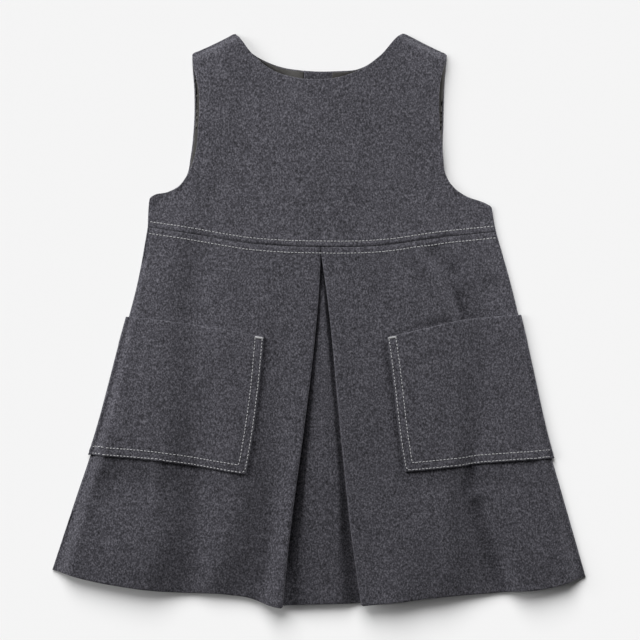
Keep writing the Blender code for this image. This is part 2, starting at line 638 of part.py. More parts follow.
def button(name, y, finish, collection):
    """A flat four-hole button: a turned disc with a raised rim on the side that faces the floor."""
    radius = BUTTON_ACROSS / 2
    mesh = bpy.data.meshes.new(name)
    points = [(share * radius * MM, 0.0, z * MM) for share, z in BUTTON_PROFILE]
    mesh.from_pydata(points, [(i, i + 1) for i in range(len(points) - 1)], [])
    mesh.materials.append(finish)
    disc = bpy.data.objects.new(name, mesh)
    disc.location = (0.0, y * MM, 0.0)
    collection.objects.link(disc)
    turn = disc.modifiers.new("turn", "SCREW")
    turn.steps = turn.render_steps = FACETS.button_round
    turn.use_merge_vertices = True
    turn.merge_threshold = 0.00001
    turn.use_smooth_shade = False
    return disc


def button_holes(y, cutters):
    """The cutter for one button: four upright pins in one mesh."""
    built = bmesh.new()
    radius = BUTTON_HOLE / 2 * MM
    for sx in (-1, 1):
        for sy in (-1, 1):
            made = bmesh.ops.create_cone(
                built, cap_ends=True, segments=FACETS.button_hole, radius1=radius, radius2=radius,
                depth=3 * BUTTON_THICK * MM,
            )
            offset = (sx * BUTTON_HOLE_SPREAD * MM, sy * BUTTON_HOLE_SPREAD * MM, 0.0)
            bmesh.ops.translate(built, verts=made["verts"], vec=offset)
    mesh = bpy.data.meshes.new("button_holes")
    built.to_mesh(mesh)
    built.free()
    pins = bpy.data.objects.new("button_holes", mesh)
    pins.location = (0.0, y * MM, BUTTON_THICK / 2 * MM)
    pins.hide_render = True
    pins.display_type = "WIRE"
    cutters.objects.link(pins)
    return pins


def new_collection(name):
    made = bpy.data.collections.new(name)
    bpy.context.scene.collection.children.link(made)
    return made


def main():
    for obj in list(bpy.data.objects):
        bpy.data.objects.remove(obj)
    dress = new_collection("pinafore_dress")
    cutters = new_collection("cutters")
    wool = material("wool_flannel", WOOL_GREY, WOOL_ROUGHNESS)
    lining = material("lining_cloth", LINING_GREY, LINING_ROUGHNESS)
    resin = material("button_resin", RESIN_GREY, RESIN_ROUGHNESS)

    cloth_panel("back_skirt", back_skirt_points(), WOOL, wool, dress)
    for half in (BACK_LEFT, BACK_RIGHT):
        back, inside = back_points(half)
        cloth_panel(f"back_bodice_{half.name}", back, WOOL, wool, dress)
        cloth_panel(f"back_lining_{half.name}", inside, LINING, lining, dress)
    faces = (face_grid(-1), face_grid(1))
    cloth_panel("front_skirt", front_skirt_points(faces), WOOL, wool, dress)
    cloth_panel("front_bodice", front_bodice_points(), WOOL, wool, dress)
    cloth_panel("pocket_left", pocket_points(faces[0], -1), WOOL, wool, dress)
    cloth_panel("pocket_right", pocket_points(faces[1], 1), WOOL, wool, dress)
    for number, y in enumerate(BUTTON_HEIGHTS, 1):
        disc = button(f"button_{number}", y, resin, dress)
        holes = disc.modifiers.new("holes", "BOOLEAN")
        holes.operation = "DIFFERENCE"
        holes.object = button_holes(y, cutters)


main()
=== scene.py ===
"""A toddler's pinafore dress in grey wool flannel, laid flat on its back: the dressed model.

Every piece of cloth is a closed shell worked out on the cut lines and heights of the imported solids,
only finer, with its folds, seam rolls and stitched grooves.  The tables are in millimetres and MM
turns them into Blender's metres.  Seen from above, +X is to the right and +Y runs from hem to neck;
"left" and "right" are as seen from above, looking down at the front.
"""

import logging
import math
from dataclasses import dataclass
from enum import Enum
from typing import Callable, Sequence

import bpy
import numpy as np
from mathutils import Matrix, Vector


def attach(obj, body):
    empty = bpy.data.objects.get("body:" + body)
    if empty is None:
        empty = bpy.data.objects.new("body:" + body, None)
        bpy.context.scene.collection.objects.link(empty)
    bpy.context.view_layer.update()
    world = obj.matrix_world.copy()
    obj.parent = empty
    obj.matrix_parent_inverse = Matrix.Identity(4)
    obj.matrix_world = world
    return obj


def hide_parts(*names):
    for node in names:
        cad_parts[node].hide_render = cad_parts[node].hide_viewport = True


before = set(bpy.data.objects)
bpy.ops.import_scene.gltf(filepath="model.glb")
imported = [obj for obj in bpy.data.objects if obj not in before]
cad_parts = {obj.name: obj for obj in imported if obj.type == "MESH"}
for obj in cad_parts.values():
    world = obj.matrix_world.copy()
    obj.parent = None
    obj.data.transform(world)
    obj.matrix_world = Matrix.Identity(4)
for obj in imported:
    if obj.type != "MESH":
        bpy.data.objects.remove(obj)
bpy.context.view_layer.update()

LOG = logging.getLogger("pinafore_dress")
MM = 0.001
BODY = "root"

Array = np.ndarray
Point = tuple[float, float]
Colour = tuple[float, float, float]
Surface = Callable[[Array, Array], tuple[Array, Array]]  # points and normals of a face, at (x, y)

WOOL = 1.5  # thickness of the flannel
LINING = 1.0  # thickness of the lining
CLOSE = 0.02  # between two pieces that are sewn edge to edge
BACK_Z = WOOL / 2  # middle of the back, which rests on the floor
SEAM_Z = BACK_Z + WOOL + CLOSE  # middle of the front where it is sewn to the back
SEED = 7
KNOTS = 4096  # seeded values in a row; a quarter of them lie before the zero of a line
MEET_TURNS = 12  # enough for two crossing lines to agree on their common point


class Slot(Enum):
    """The record's material slots."""

    WOOL = "wool_flannel"
    LINING = "lining_cloth"
    RESIN = "button_resin"


# ---------------------------------------------------------------- curves and grids


def smooth(t: Array) -> Array:
    """Smoothstep: 3t² − 2t³ with t held between 0 and 1, so 0 to 1 with flat ends."""
    t = np.clip(t, 0.0, 1.0)
    return t * t * (3 - 2 * t)


def ramp(value: Array, start: float, end: float) -> Array:
    """Smoothstep from 0 where value is start to 1 where it is end."""
    return smooth((value - start) / (end - start))


def between(value: Array, starts: float, full: float, fades: float, ends: float) -> Array:
    """Smoothsteps from 0 at starts to 1 at full, and from 1 at fades to 0 at ends."""
    return ramp(value, starts, full) * (1 - ramp(value, fades, ends))


def unit(vectors: Array) -> Array:
    """The vectors divided by their lengths."""
    return vectors / np.maximum(np.linalg.norm(vectors, axis=-1, keepdims=True), 1e-12)


def hermite(knots: Sequence[float], values: Sequence[float], at: Array) -> Array:
    """A cubic Hermite curve through (knots, values), each knot's slope taken from its neighbours.

    Args:
        knots: Rising positions of the table's columns.
        values: The value at each knot.
        at: Where the curve is wanted; held inside the knots.

    Returns:
        The curve's values, shaped like at.
    """
    knots, values, at = (np.asarray(v, float) for v in (knots, values, at))
    slopes = np.gradient(values, knots)
    at = np.clip(at, knots[0], knots[-1])
    i = np.clip(np.searchsorted(knots, at, side="right") - 1, 0, len(knots) - 2)
    step = knots[i + 1] - knots[i]
    t = (at - knots[i]) / step
    return (
        (1 + 2 * t) * (1 - t) ** 2 * values[i]
        + t * (1 - t) ** 2 * step * slopes[i]
        + t * t * (3 - 2 * t) * values[i + 1]
        + t * t * (t - 1) * step * slopes[i + 1]
    )


@dataclass(frozen=True)
class Line:
    """A smooth line over the laid dress, drawn through a short table of points (x, y)."""

    points: tuple[Point, ...]
    fine_steps: int = 400  # steps of the line before it is cut and sampled again

    def even(self, count: int) -> Array:
        """count + 1 points, evenly spaced by the length of the table's chords.

        Args:
            count: Number of steps.

        Returns:
            (count + 1, 2) points.
        """
        points = np.asarray(self.points, float)
        along = np.concatenate([[0.0], np.cumsum(np.linalg.norm(np.diff(points, axis=0), axis=1))])
        at = np.linspace(0.0, along[-1], count + 1)
        return np.stack([hermite(along, points[:, k], at) for k in (0, 1)], axis=1)

    def at(self, axis: int, values: Array) -> Array:
        """Points of the line at the given values of x (axis 0) or y (axis 1).

        Args:
            axis: 0 for x and 1 for y.
            values: The values on that axis.

        Returns:
            The points, shaped like values with a last axis of two.
        """
        fine = self.even(self.fine_steps)
        fine = fine[np.argsort(fine[:, axis])]
        found = np.empty((*np.shape(values), 2))
        found[..., axis] = values
        found[..., 1 - axis] = np.interp(values, fine[:, axis], fine[:, 1 - axis])
        return found

    def y_at(self, x: Array) -> Array:
        """y of the line at each x."""
        return self.at(0, x)[..., 1]

    def x_at(self, y: Array) -> Array:
        """x of the line at each y."""
        return self.at(1, y)[..., 0]

    def moved(self, dx: float, dy: float) -> "Line":
        """The line moved by (dx, dy)."""
        return Line(tuple((x + dx, y + dy) for x, y in self.points))

    def beside(self, distance: float) -> "Line":
        """The line moved to its own left by distance, each point along its normal.

        Args:
            distance: Millimetres to the left, or to the right below zero.

        Returns:
            The moved line.
        """
        points = np.asarray(self.points, float)
        tangent = unit(np.gradient(points, axis=0))
        normal = np.stack([-tangent[:, 1], tangent[:, 0]], axis=1)
        return Line(tuple(map(tuple, points + distance * normal)))

    def reversed(self) -> "Line":
        """The same line, run the other way."""
        return Line(self.points[::-1])

    def meets(self, other: "Line") -> Array:
        """Where this line, which runs along X, meets one that runs along Y, found by turns on each.

        Args:
            other: The line that runs along Y.

        Returns:
            The point (x, y) that they share.
        """
        point = np.array([0.0, np.mean([p[1] for p in self.points])])
        for _ in range(MEET_TURNS):
            point = other.at(1, point[1])
            point = self.at(0, point[0])
        return point


def chain(*parts: tuple[Line, int]) -> Array:
    """Lines joined end to end, each given with its number of steps, so that corners stay sharp."""
    sampled = [line.even(count) for line, count in parts]
    return np.concatenate([sampled[0]] + [s[1:] for s in sampled[1:]])


def coons(bottom: Array, top: Array, left: Array, right: Array, shares: Array | None = None) -> Array:
    """A Coons patch: the blend of two pairs of opposite edges, less the bilinear blend of the corners.

    Args:
        bottom: Points of the lower edge, from left to right.
        top: Points of the upper edge, from left to right.
        left: Points of the left edge, from bottom to top.
        right: Points of the right edge, from bottom to top.
        shares: How far across each column lies, from 0 to 1; even when it is left out.

    Returns:
        The grid of points (x, y), in rows from bottom to top.
    """
    u = (np.linspace(0, 1, len(bottom)) if shares is None else shares)[None, :, None]
    v = np.linspace(0, 1, len(left))[:, None, None]
    across = (1 - v) * bottom[None] + v * top[None]
    up = (1 - u) * left[:, None] + u * right[:, None]
    corners = (
        (1 - u) * (1 - v) * bottom[0] + u * (1 - v) * bottom[-1] + (1 - u) * v * top[0] + u * v * top[-1]
    )
    return across + up - corners


def patchwork(across: Sequence[Line], up: Sequence[Line], rows: Sequence[int],
              shares: Sequence[Array]) -> Array:
    """One grid over a quilt of Coons patches, so that its rows and columns follow named lines.

    Args:
        across: Lines that run along X, from the lowest up.
        up: Lines that run along Y, from left to right.
        rows: Steps between each pair of lines across.
        shares: For each pair of lines up, how far across the patch each column lies.

    Returns:
        The grid of points (x, y).
    """
    corners = [[line.meets(other) for other in up] for line in across]
    bands = []
    for row, count in enumerate(rows):
        band = []
        for column, share in enumerate(shares):
            low_left, low_right = corners[row][column : column + 2]
            high_left, high_right = corners[row + 1][column : column + 2]
            rise = np.linspace(0, 1, count + 1)
            bottom = across[row].at(0, low_left[0] + (low_right[0] - low_left[0]) * share)
            top = across[row + 1].at(0, high_left[0] + (high_right[0] - high_left[0]) * share)
            left = up[column].at(1, low_left[1] + (high_left[1] - low_left[1]) * rise)
            right = up[column + 1].at(1, low_right[1] + (high_right[1] - low_right[1]) * rise)
            patch = coons(bottom, top, left, right, share)
            band.append(patch if column == 0 else patch[:, 1:])
        joined = np.concatenate(band, axis=1)
        bands.append(joined if row == 0 else joined[1:])
    return np.concatenate(bands, axis=0)


# ---------------------------------------------------------------- the cut and the lie of the cloth


@dataclass(frozen=True)
class SideCut:
    """The cut lines of one side of the dress as it lies, in millimetres."""

    side: int  # -1 for the left side and 1 for the right
    skirt_side: Line
    bodice_side: Line
    armhole: Line
    shoulder: Line  # from left to right
    hem: Line
    pleat: Line  # the edge of the pleat's fold
    pocket_bottom: Line
    pocket_top: Line
    pocket_inner: Line

    def edge(self) -> Line:
        """The whole outer edge, from the hem to the shoulder tip."""
        parts = (self.skirt_side, self.bodice_side, self.armhole)
        return Line(tuple(sorted({point for line in parts for point in line.points}, key=lambda p: p[1])))


LEFT = SideCut(
    side=-1,
    skirt_side=Line((
        (-208.7, -194.6), (-190.7, -140.0), (-174.3, -91.0), (-155.5, -21.0), (-141.6, 32.0), (-134.2, 72.9),
    )),
    bodice_side=Line(((-134.2, 72.9), (-133.8, 84.0), (-133.2, 92.4))),
    armhole=Line((
        (-133.2, 92.4), (-132.3, 95.7), (-129.4, 97.8), (-118.2, 100.4), (-109.4, 105.2), (-104.1, 112.7),
        (-100.6, 129.0), (-98.3, 150.2), (-97.9, 180.0), (-99.3, 200.0), (-99.5, 207.4),
    )),
    shoulder=Line((
        (-99.5, 207.4), (-98.5, 208.7), (-94.6, 210.4), (-82.3, 215.9), (-70.4, 221.9), (-67.3, 223.6),
        (-65.6, 223.8),
    )),
    hem=Line((
        (-208.7, -194.6), (-179.0, -202.4), (-147.8, -207.9), (-108.8, -212.2), (-75.0, -213.4),
        (-55.0, -216.2), (-38.6, -221.9), (-29.0, -223.6),
    )),
    pleat=Line((
        (-28.6, -223.6), (-22.8, -165.0), (-15.8, -112.0), (-9.5, -65.0), (-4.2, -20.0), (-0.6, 20.0),
        (1.0, 50.0), (1.3, 57.3),
    )),
    pocket_bottom=Line((
        (-180.0, -104.8), (-132.2, -108.4), (-93.0, -114.3), (-57.4, -119.8), (-14.0, -124.0),
    )),
    pocket_top=Line((
        (-150.0, 3.0), (-110.0, -1.5), (-72.0, -7.4), (-43.0, -12.5), (-3.0, -16.0),
    )),
    pocket_inner=Line((
        (-78.0, -214.0), (-57.4, -119.8), (-52.5, -92.0), (-47.0, -52.0), (-43.0, -12.5), (-36.0, 58.6),
    )),
)
RIGHT = SideCut(
    side=1,
    skirt_side=Line((
        (207.9, -200.1), (190.7, -140.0), (177.5, -93.2), (160.6, -18.3), (149.4, 28.5), (137.9, 69.4),
    )),
    bodice_side=Line(((137.9, 69.4), (136.2, 78.0), (134.9, 86.9))),
    armhole=Line((
        (134.9, 86.9), (134.1, 88.9), (131.4, 90.6), (111.9, 98.5), (103.2, 105.6), (98.7, 113.5),
        (96.6, 129.0), (96.9, 156.4), (97.9, 187.6), (99.0, 200.0), (99.5, 206.9),
    )),
    shoulder=Line((
        (64.8, 224.0), (66.6, 223.9), (69.8, 222.4), (82.3, 215.9), (94.8, 209.9), (98.6, 208.1),
        (99.5, 206.9),
    )),
    hem=Line((
        (31.0, -222.2), (55.0, -219.6), (94.0, -215.3), (140.8, -212.2), (179.8, -207.9), (207.9, -200.1),
    )),
    pleat=Line((
        (32.4, -222.2), (24.4, -165.0), (18.8, -112.0), (14.2, -65.0), (10.2, -20.0), (5.8, 20.0),
        (1.4, 50.0), (0.3, 57.3),
    )),
    pocket_bottom=Line((
        (14.0, -122.0), (66.5, -117.8), (94.0, -115.2), (125.2, -111.6), (182.0, -107.6),
    )),
    pocket_top=Line(((5.0, -18.0), (52.6, -12.5), (78.4, -7.0), (110.0, 0.2), (156.0, 4.6))),
    pocket_inner=Line((
        (84.0, -216.0), (66.5, -117.8), (61.5, -85.0), (57.0, -45.0), (52.6, -12.5), (44.0, 58.0),
    )),
)
WAIST = Line((
    (-134.2, 72.9), (-101.0, 67.9), (-54.2, 60.1), (0.8, 57.3), (47.2, 58.3), (94.0, 64.6), (137.9, 69.4),
))
FRONT_NECK = Line((
    (-65.6, 223.8), (-64.0, 222.4), (-53.2, 208.9), (-35.7, 194.8), (-11.3, 188.2), (12.1, 188.8),
    (33.2, 196.2), (47.2, 206.3), (62.9, 222.8), (64.8, 224.0),
))
BACK_NECK = Line((
    (-65.6, 223.8), (-64.0, 222.4), (-54.2, 210.2), (-37.0, 200.3), (-15.2, 195.2), (12.0, 194.3),
    (30.0, 196.2), (47.2, 206.3), (62.9, 222.8), (64.8, 224.0),
))
BACK_HEM = Line((
    (-208.7, -194.6), (-150.0, -203.5), (-80.0, -209.0), (0.0, -213.0), (80.0, -210.5),
    (150.0, -206.5), (207.9, -200.1),
))


@dataclass(frozen=True)
class FoldLine:
    """A crest or a valley of the front: its x and the height z of the cloth's middle, at each of LEVELS."""

    name: str
    x: tuple[float, ...]
    z: tuple[float, ...]


# y of the columns of FOLD_LINES: hem, above the hem, low, pocket, waist, chest, neck
LEVELS = (-222.0, -188.0, -150.0, -50.0, 57.0, 110.0, 195.0)
FOLD_LINES = (
    FoldLine("left edge", (-193, -190, -180, -152, -129, -102, -92), (12.0, 10.8, 10.2, 6.6, 3.8, 4.4, 6.4)),
    FoldLine("left roll", (-142, -133, -126, -122, -113, -94, -84), (12.8, 13.4, 13.2, 9.0, 5.2, 4.7, 8.0)),
    FoldLine("left dip", (-100, -98, -96, -96, -94, -82, -74), (4.4, 4.8, 5.2, 4.4, 3.9, 4.7, 7.6)),
    FoldLine("left face", (-84, -76, -68, -64, -76, -62, -58), (5.0, 10.6, 11.2, 8.4, 5.6, 5.0, 6.6)),
    FoldLine("dip beside pleat", (-50, -42, -38, -36, -42, -40, -40), (6.4, 6.4, 6.4, 7.2, 7.3, 6.4, 6.8)),
    FoldLine("pleat left", (-30, -26, -22, -9, -3, -10, -12), (15.5, 14.2, 12.6, 10.6, 8.8, 8.6, 9.2)),
    FoldLine("pleat right", (34, 29, 23, 14, 4, 18, 20), (13.0, 11.5, 10.6, 10.0, 8.8, 9.0, 9.8)),
    FoldLine("right roll", (60, 62, 60, 48, 40, 46, 48), (17.0, 14.0, 11.5, 9.0, 7.8, 6.8, 8.8)),
    FoldLine("right crest", (84, 98, 100, 106, 90, 66, 60), (13.5, 12.5, 12.0, 9.6, 8.4, 5.8, 9.0)),
    FoldLine("right dip", (134, 129, 116, 128, 116, 82, 76), (5.6, 5.0, 5.6, 4.6, 4.8, 4.8, 9.0)),
    FoldLine("right lip", (158, 154, 138, 142, 124, 90, 84), (14.0, 12.6, 10.4, 6.8, 4.6, 4.7, 9.0)),
    FoldLine("right edge", (194, 188, 178, 154, 131, 101, 92), (12.5, 11.0, 9.2, 6.8, 3.8, 4.4, 7.2)),
)
# Heights of the underlay at LEVELS: under the left fold's edge, along its crest, under the right fold's edge
UNDERLAY_LEFT_Z = (9.5, 5.2, 3.2, 6.0, 2.6, 2.6, 2.6)
UNDERLAY_Z = (7.6, 7.2, 7.4, 8.0, 6.4, 2.6, 2.6)
UNDERLAY_RIGHT_Z = (3.0, 2.8, 4.4, 6.4, 2.6, 2.6, 2.6)
# How far the underlay's crest begins from the edge of the left and of the right fold, at LEVELS
CREST_LEFT = (6.0, 7.0, 9.0, 4.0, 3.0, 3.0, 3.0)
CREST_RIGHT = (17.0, 14.0, 8.0, 4.5, 3.0, 3.0, 3.0)


@dataclass(frozen=True)
class Crease:
    """A soft trough from (x0, y0) to (x1, y1), or a ridge where its depth is negative."""

    x0: float
    y0: float
    x1: float
    y1: float
    depth: float
    left_width: float  # of the flank to the left of the way from the first point to the second
    right_width: float
    spanned: bool = False  # whether a pocket's mouth runs straight over it

    def press(self, x: Array, y: Array) -> Array:
        """How far it presses the cloth down: depth times exp(−(distance / the flank's width)²).

        Args:
            x: Millimetres to the right of the middle.
            y: Millimetres towards the neck.

        Returns:
            Depths in millimetres, shaped like x.
        """
        dx, dy = self.x1 - self.x0, self.y1 - self.y0
        t = np.clip(((x - self.x0) * dx + (y - self.y0) * dy) / (dx * dx + dy * dy), 0.0, 1.0)
        away_x, away_y = x - self.x0 - t * dx, y - self.y0 - t * dy
        length = np.hypot(dx, dy) * np.maximum(np.hypot(away_x, away_y), 1e-9)
        to_left = (dx * away_y - dy * away_x) / length
        width = self.right_width + (self.left_width - self.right_width) * smooth(0.5 + 0.5 * to_left)
        return self.depth * np.exp(-(away_x**2 + away_y**2) / width**2)


CREASES = (
    Crease(-98.0, 4.0, -97.0, 50.0, 1.2, 11.0, 18.0),
    Crease(-154.0, -128.0, -134.0, -130.0, 5.2, 17.0, 34.0),
    Crease(-127.0, -146.0, -127.0, -110.0, -1.6, 5.0, 4.0),
    Crease(99.0, 12.0, 92.0, 30.0, -1.6, 9.0, 5.0),
    Crease(92.0, 30.0, 78.0, 52.0, -1.6, 9.0, 5.0),
    Crease(112.0, -2.0, 106.0, 18.0, 6.2, 6.0, 10.0, True),
    Crease(106.0, 18.0, 101.0, 37.0, 4.8, 6.5, 9.0, True),
    Crease(101.0, 37.0, 88.0, 52.0, 3.6, 6.5, 9.0),
    Crease(62.0, -9.5, 84.0, -4.5, 0.7, 2.6, 10.0, True),
    Crease(84.0, -4.5, 124.0, 2.6, 1.5, 3.2, 10.0, True),
    Crease(53.0, -22.0, 58.5, -60.0, 0.5, 5.0, 2.4, True),
    Crease(58.5, -60.0, 66.0, -112.0, 0.8, 5.0, 2.6, True),
    Crease(137.0, 26.0, 142.0, 26.0, 2.4, 7.0, 9.0),
    Crease(88.0, -127.0, 108.0, -129.0, 1.2, 10.0, 15.0),
    Crease(108.0, -129.0, 134.0, -129.0, 1.8, 11.0, 15.0),
    Crease(150.0, -216.0, 142.0, -186.0, 6.4, 11.0, 9.0),
    Crease(142.0, -186.0, 126.0, -146.0, 6.0, 10.0, 9.0),
)


@dataclass(frozen=True)
class Ripple:
    """A long, low wave over the cloth, the unevenness that pressed flannel keeps."""

    across: float  # wavelength along X
    up: float  # wavelength along Y
    height: float
    shift: float  # phase, in radians

    def rise(self, x: Array, y: Array) -> Array:
        """A sine along a slanted direction, its phase bent by a slower sine."""
        bend = 1.3 * np.sin(y / self.up * 2.1 + self.shift) + 0.9 * np.sin(x / self.across * 1.7 - self.shift)
        return self.height * np.sin(2 * math.pi * (x / self.across + y / self.up) + self.shift + bend)


RIPPLES = (
    Ripple(61.0, 173.0, 0.16, 0.4),
    Ripple(-47.0, 118.0, 0.12, 2.1),
    Ripple(33.0, -71.0, 0.06, 4.0),
    Ripple(24.0, 39.0, 0.035, 5.2),
)


@dataclass(frozen=True)
class LaidFront:
    """The front of the dress as it lies over the back: heights and normals of its cloth's middle."""

    armhole_z: float = 5.2
    armhole_rise: tuple[float, float] = (84.0, 26.0)  # y where the side seam ends, and the length of the rise
    ledge: float = 1.0  # width of the flat strip beside the side seam
    shoulder_roll: float = 6.5
    shoulder_slope: float = math.radians(25.5)
    probe: float = 0.8  # half the distance over which slopes are measured
    flank: float = 14.0  # how far in from the outer edge creases and ripples reach their full depth
    edges: tuple[Line, Line] = (LEFT.edge(), RIGHT.edge())

    def below_shoulder(self, x: Array, y: Array) -> Array:
        """How far a point lies below the shoulder seam; large away from the shoulders.

        Args:
            x: Millimetres to the right of the middle.
            y: Millimetres towards the neck.

        Returns:
            Distances in millimetres, shaped like x.
        """
        neck, tip = RIGHT.shoulder.points[0], RIGHT.shoulder.points[-1]
        seam = np.interp(np.abs(x), (neck[0], tip[0]), (neck[1], tip[1]))
        return (seam - y) * math.cos(self.shoulder_slope) + (neck[0] - np.abs(x)).clip(0.0)

    def height(self, x: Array, y: Array, spanning: bool = False) -> Array:
        """Height of the cloth's middle.

        Between two neighbouring fold lines the height follows a smoothstep in x; the deepest trough and the
        highest ridge at each point are taken off, the ripples are added, and all of it dies out towards the
        side seams and the shoulders.

        Args:
            x: Millimetres to the right of the middle.
            y: Millimetres towards the neck.
            spanning: Leaves out the creases that a pocket's mouth runs straight over.

        Returns:
            Heights in millimetres, shaped like x.
        """
        start, length = self.armhole_rise
        edge_z = SEAM_Z + (self.armhole_z - SEAM_Z) * ramp(y, start, start + length)
        left = self.edges[0].x_at(y) + self.ledge
        right = self.edges[1].x_at(y) - self.ledge
        lines = [(left, edge_z)]
        lines += [(hermite(LEVELS, line.x, y), hermite(LEVELS, line.z, y)) for line in FOLD_LINES]
        lines += [(right, edge_z)]
        z = np.array(edge_z, float)
        for (x0, z0), (x1, z1) in zip(lines, lines[1:]):
            z = np.where((x >= x0) & (x <= x1), z0 + (z1 - z0) * ramp(x, x0, x1), z)
        inside = ramp(np.minimum(x - left, right - x), 0.0, self.flank)
        pressed = [crease.press(x, y) for crease in CREASES if not (spanning and crease.spanned)]
        soft = sum(ripple.rise(x, y) for ripple in RIPPLES)
        soft = soft - np.maximum.reduce(pressed).clip(0.0) - np.minimum.reduce(pressed).clip(None, 0.0)
        z = np.maximum(z + soft * inside, SEAM_Z)
        return SEAM_Z + (z - SEAM_Z) * smooth(self.below_shoulder(x, y) / self.shoulder_roll)

    def frame(self, x: Array, y: Array, spanning: bool = False) -> tuple[Array, Array, Array]:
        """Point, unit normal and unit tangent along X of the middle surface, from central differences.

        Args:
            x: Millimetres to the right of the middle.
            y: Millimetres towards the neck.
            spanning: Leaves out the creases under a pocket, as in height.

        Returns:
            The points, the normals and the tangents, shaped like x with a last axis of three.
        """
        step = self.probe
        slope_x = (self.height(x + step, y, spanning) - self.height(x - step, y, spanning)) / (2 * step)
        slope_y = (self.height(x, y + step, spanning) - self.height(x, y - step, spanning)) / (2 * step)
        point = np.stack([x, y, self.height(x, y, spanning)], axis=-1)
        normal = np.stack([-slope_x, -slope_y, np.ones_like(x)], axis=-1)
        tangent = np.stack([np.ones_like(x), np.zeros_like(x), slope_x], axis=-1)
        return point, unit(normal), unit(tangent)


FRONT = LaidFront()


# ---------------------------------------------------------------- meshes


def groove(distance: Array, depth: float, half_width: float) -> Array:
    """A rounded groove: −depth times exp(−(distance / half width)²)."""
    return -depth * np.exp(-((distance / half_width) ** 2))


def wander(along: Array, spacing: float, seed: int) -> Array:
    """Seeded uneven values from 0 to 1 along a line: random knots a spacing apart, joined by smoothsteps.

    Args:
        along: Places along the line.
        spacing: Distance between two knots.
        seed: Seeds the knots.

    Returns:
        The values, shaped like along.
    """
    knots = np.random.default_rng(seed).random(KNOTS)
    place = along / spacing + KNOTS / 4
    i = np.floor(place).astype(int)
    return knots[i] + (knots[i + 1] - knots[i]) * smooth(place - i)


def new_object(name: str, points: Array, faces: list[Array], finish: bpy.types.Material) -> bpy.types.Object:
    """Put worked-out points and faces into a smooth mesh object at the origin.

    Args:
        name: The piece's name.
        points: (n, 3) points in millimetres.
        faces: Arrays of faces, each of shape (m, corners).
        finish: The material.

    Returns:
        The linked object.
    """
    mesh = bpy.data.meshes.new(name)
    sizes = np.concatenate([np.full(len(f), f.shape[1], np.int32) for f in faces])
    corners = np.concatenate([f.reshape(-1) for f in faces]).astype(np.int32)
    mesh.vertices.add(len(points))
    mesh.vertices.foreach_set("co", (points * MM).astype(np.float32).reshape(-1))
    mesh.loops.add(len(corners))
    mesh.loops.foreach_set("vertex_index", corners)
    mesh.polygons.add(len(sizes))
    mesh.polygons.foreach_set("loop_start", np.concatenate([[0], np.cumsum(sizes)[:-1]]).astype(np.int32))
    mesh.update(calc_edges=True)
    mesh.shade_smooth()
    mesh.materials.append(finish)
    made = bpy.data.objects.new(name, mesh)
    bpy.context.scene.collection.objects.link(made)
    return made


@dataclass(frozen=True)
class Wall:
    """A closed wall of cloth round a grid of middle points, with its edges rounded."""

    thickness: float = WOOL
    edge_reach: float = 0.8  # how far in from the boundary the rounding starts
    edge_steps: int = 6

    @staticmethod
    def normals(middle: Array) -> Array:
        """Unit normals of a grid: the cross product of the mean unit steps along its two directions.

        Args:
            middle: (rows, columns, 3) grid.

        Returns:
            The normals, shaped like the grid.
        """
        steps = []
        for axis in (1, 0):
            forward = unit(np.diff(middle, axis=axis))
            first, last = np.take(forward, [0], axis), np.take(forward, [-1], axis)
            steps.append(np.concatenate([first, forward], axis) + np.concatenate([forward, last], axis))
        return unit(np.cross(steps[0], steps[1]))

    def build(self, name: str, middle: Array, finish: bpy.types.Material,
              over: Array | float = 0.0, under: Array | float = 0.0) -> bpy.types.Object:
        """Build the wall.

        The top sheet is the middle plus half the thickness and the relief along the normal, and the bottom
        sheet is the middle less the same.  Round the boundary, rings of points run on half an ellipse from
        the top sheet's edge, out to the boundary and back to the bottom sheet's edge.

        Args:
            name: The piece's name.
            middle: (rows, columns, 3) grid in millimetres, rows from hem to neck, columns from left to right.
            finish: The material.
            over: Extra height of the top sheet, a number or one for each point.
            under: Extra depth of the bottom sheet, in the same way.

        Returns:
            The piece.
        """
        rows, columns = middle.shape[:2]
        normal = self.normals(middle)
        high = (self.thickness / 2 + np.broadcast_to(over, (rows, columns)))[..., None]
        low = (self.thickness / 2 + np.broadcast_to(under, (rows, columns)))[..., None]
        index = np.arange(rows * columns).reshape(rows, columns)
        loop = np.concatenate([index[0, :-1], index[:-1, -1], index[-1, :0:-1], index[:0:-1, 0]])
        flat = middle.reshape(-1, 3)
        border = flat[loop]
        along = unit(unit(np.roll(border, -1, 0) - border) + unit(border - np.roll(border, 1, 0)))
        loop_normal = normal.reshape(-1, 3)[loop]
        outward = unit(np.cross(along, loop_normal))
        inner = border - outward * self.edge_reach
        top, bottom = middle + normal * high, middle - normal * low
        rim_high, rim_low = high.reshape(-1, 1)[loop], low.reshape(-1, 1)[loop]
        top, bottom = top.reshape(-1, 3), bottom.reshape(-1, 3)
        top[loop], bottom[loop] = inner + loop_normal * rim_high, inner - loop_normal * rim_low
        rings = []
        for angle in math.pi * np.arange(1, self.edge_steps) / self.edge_steps:
            rise = math.cos(angle) * (rim_high if angle < math.pi / 2 else rim_low)
            rings.append(inner + outward * self.edge_reach * math.sin(angle) + loop_normal * rise)
        count = rows * columns
        quads = np.stack([index[:-1, :-1], index[:-1, 1:], index[1:, 1:], index[1:, :-1]], -1).reshape(-1, 4)
        starts = [loop] + [2 * count + k * len(loop) + np.arange(len(loop)) for k in range(len(rings))]
        starts.append(loop + count)
        rim = [
            np.stack([a, b, np.roll(b, -1), np.roll(a, -1)], axis=1) for a, b in zip(starts, starts[1:])
        ]
        points = np.concatenate([top, bottom, *rings])
        return new_object(name, points, [np.concatenate([quads, quads[:, ::-1] + count, *rim])], finish)


# ---------------------------------------------------------------- finishes


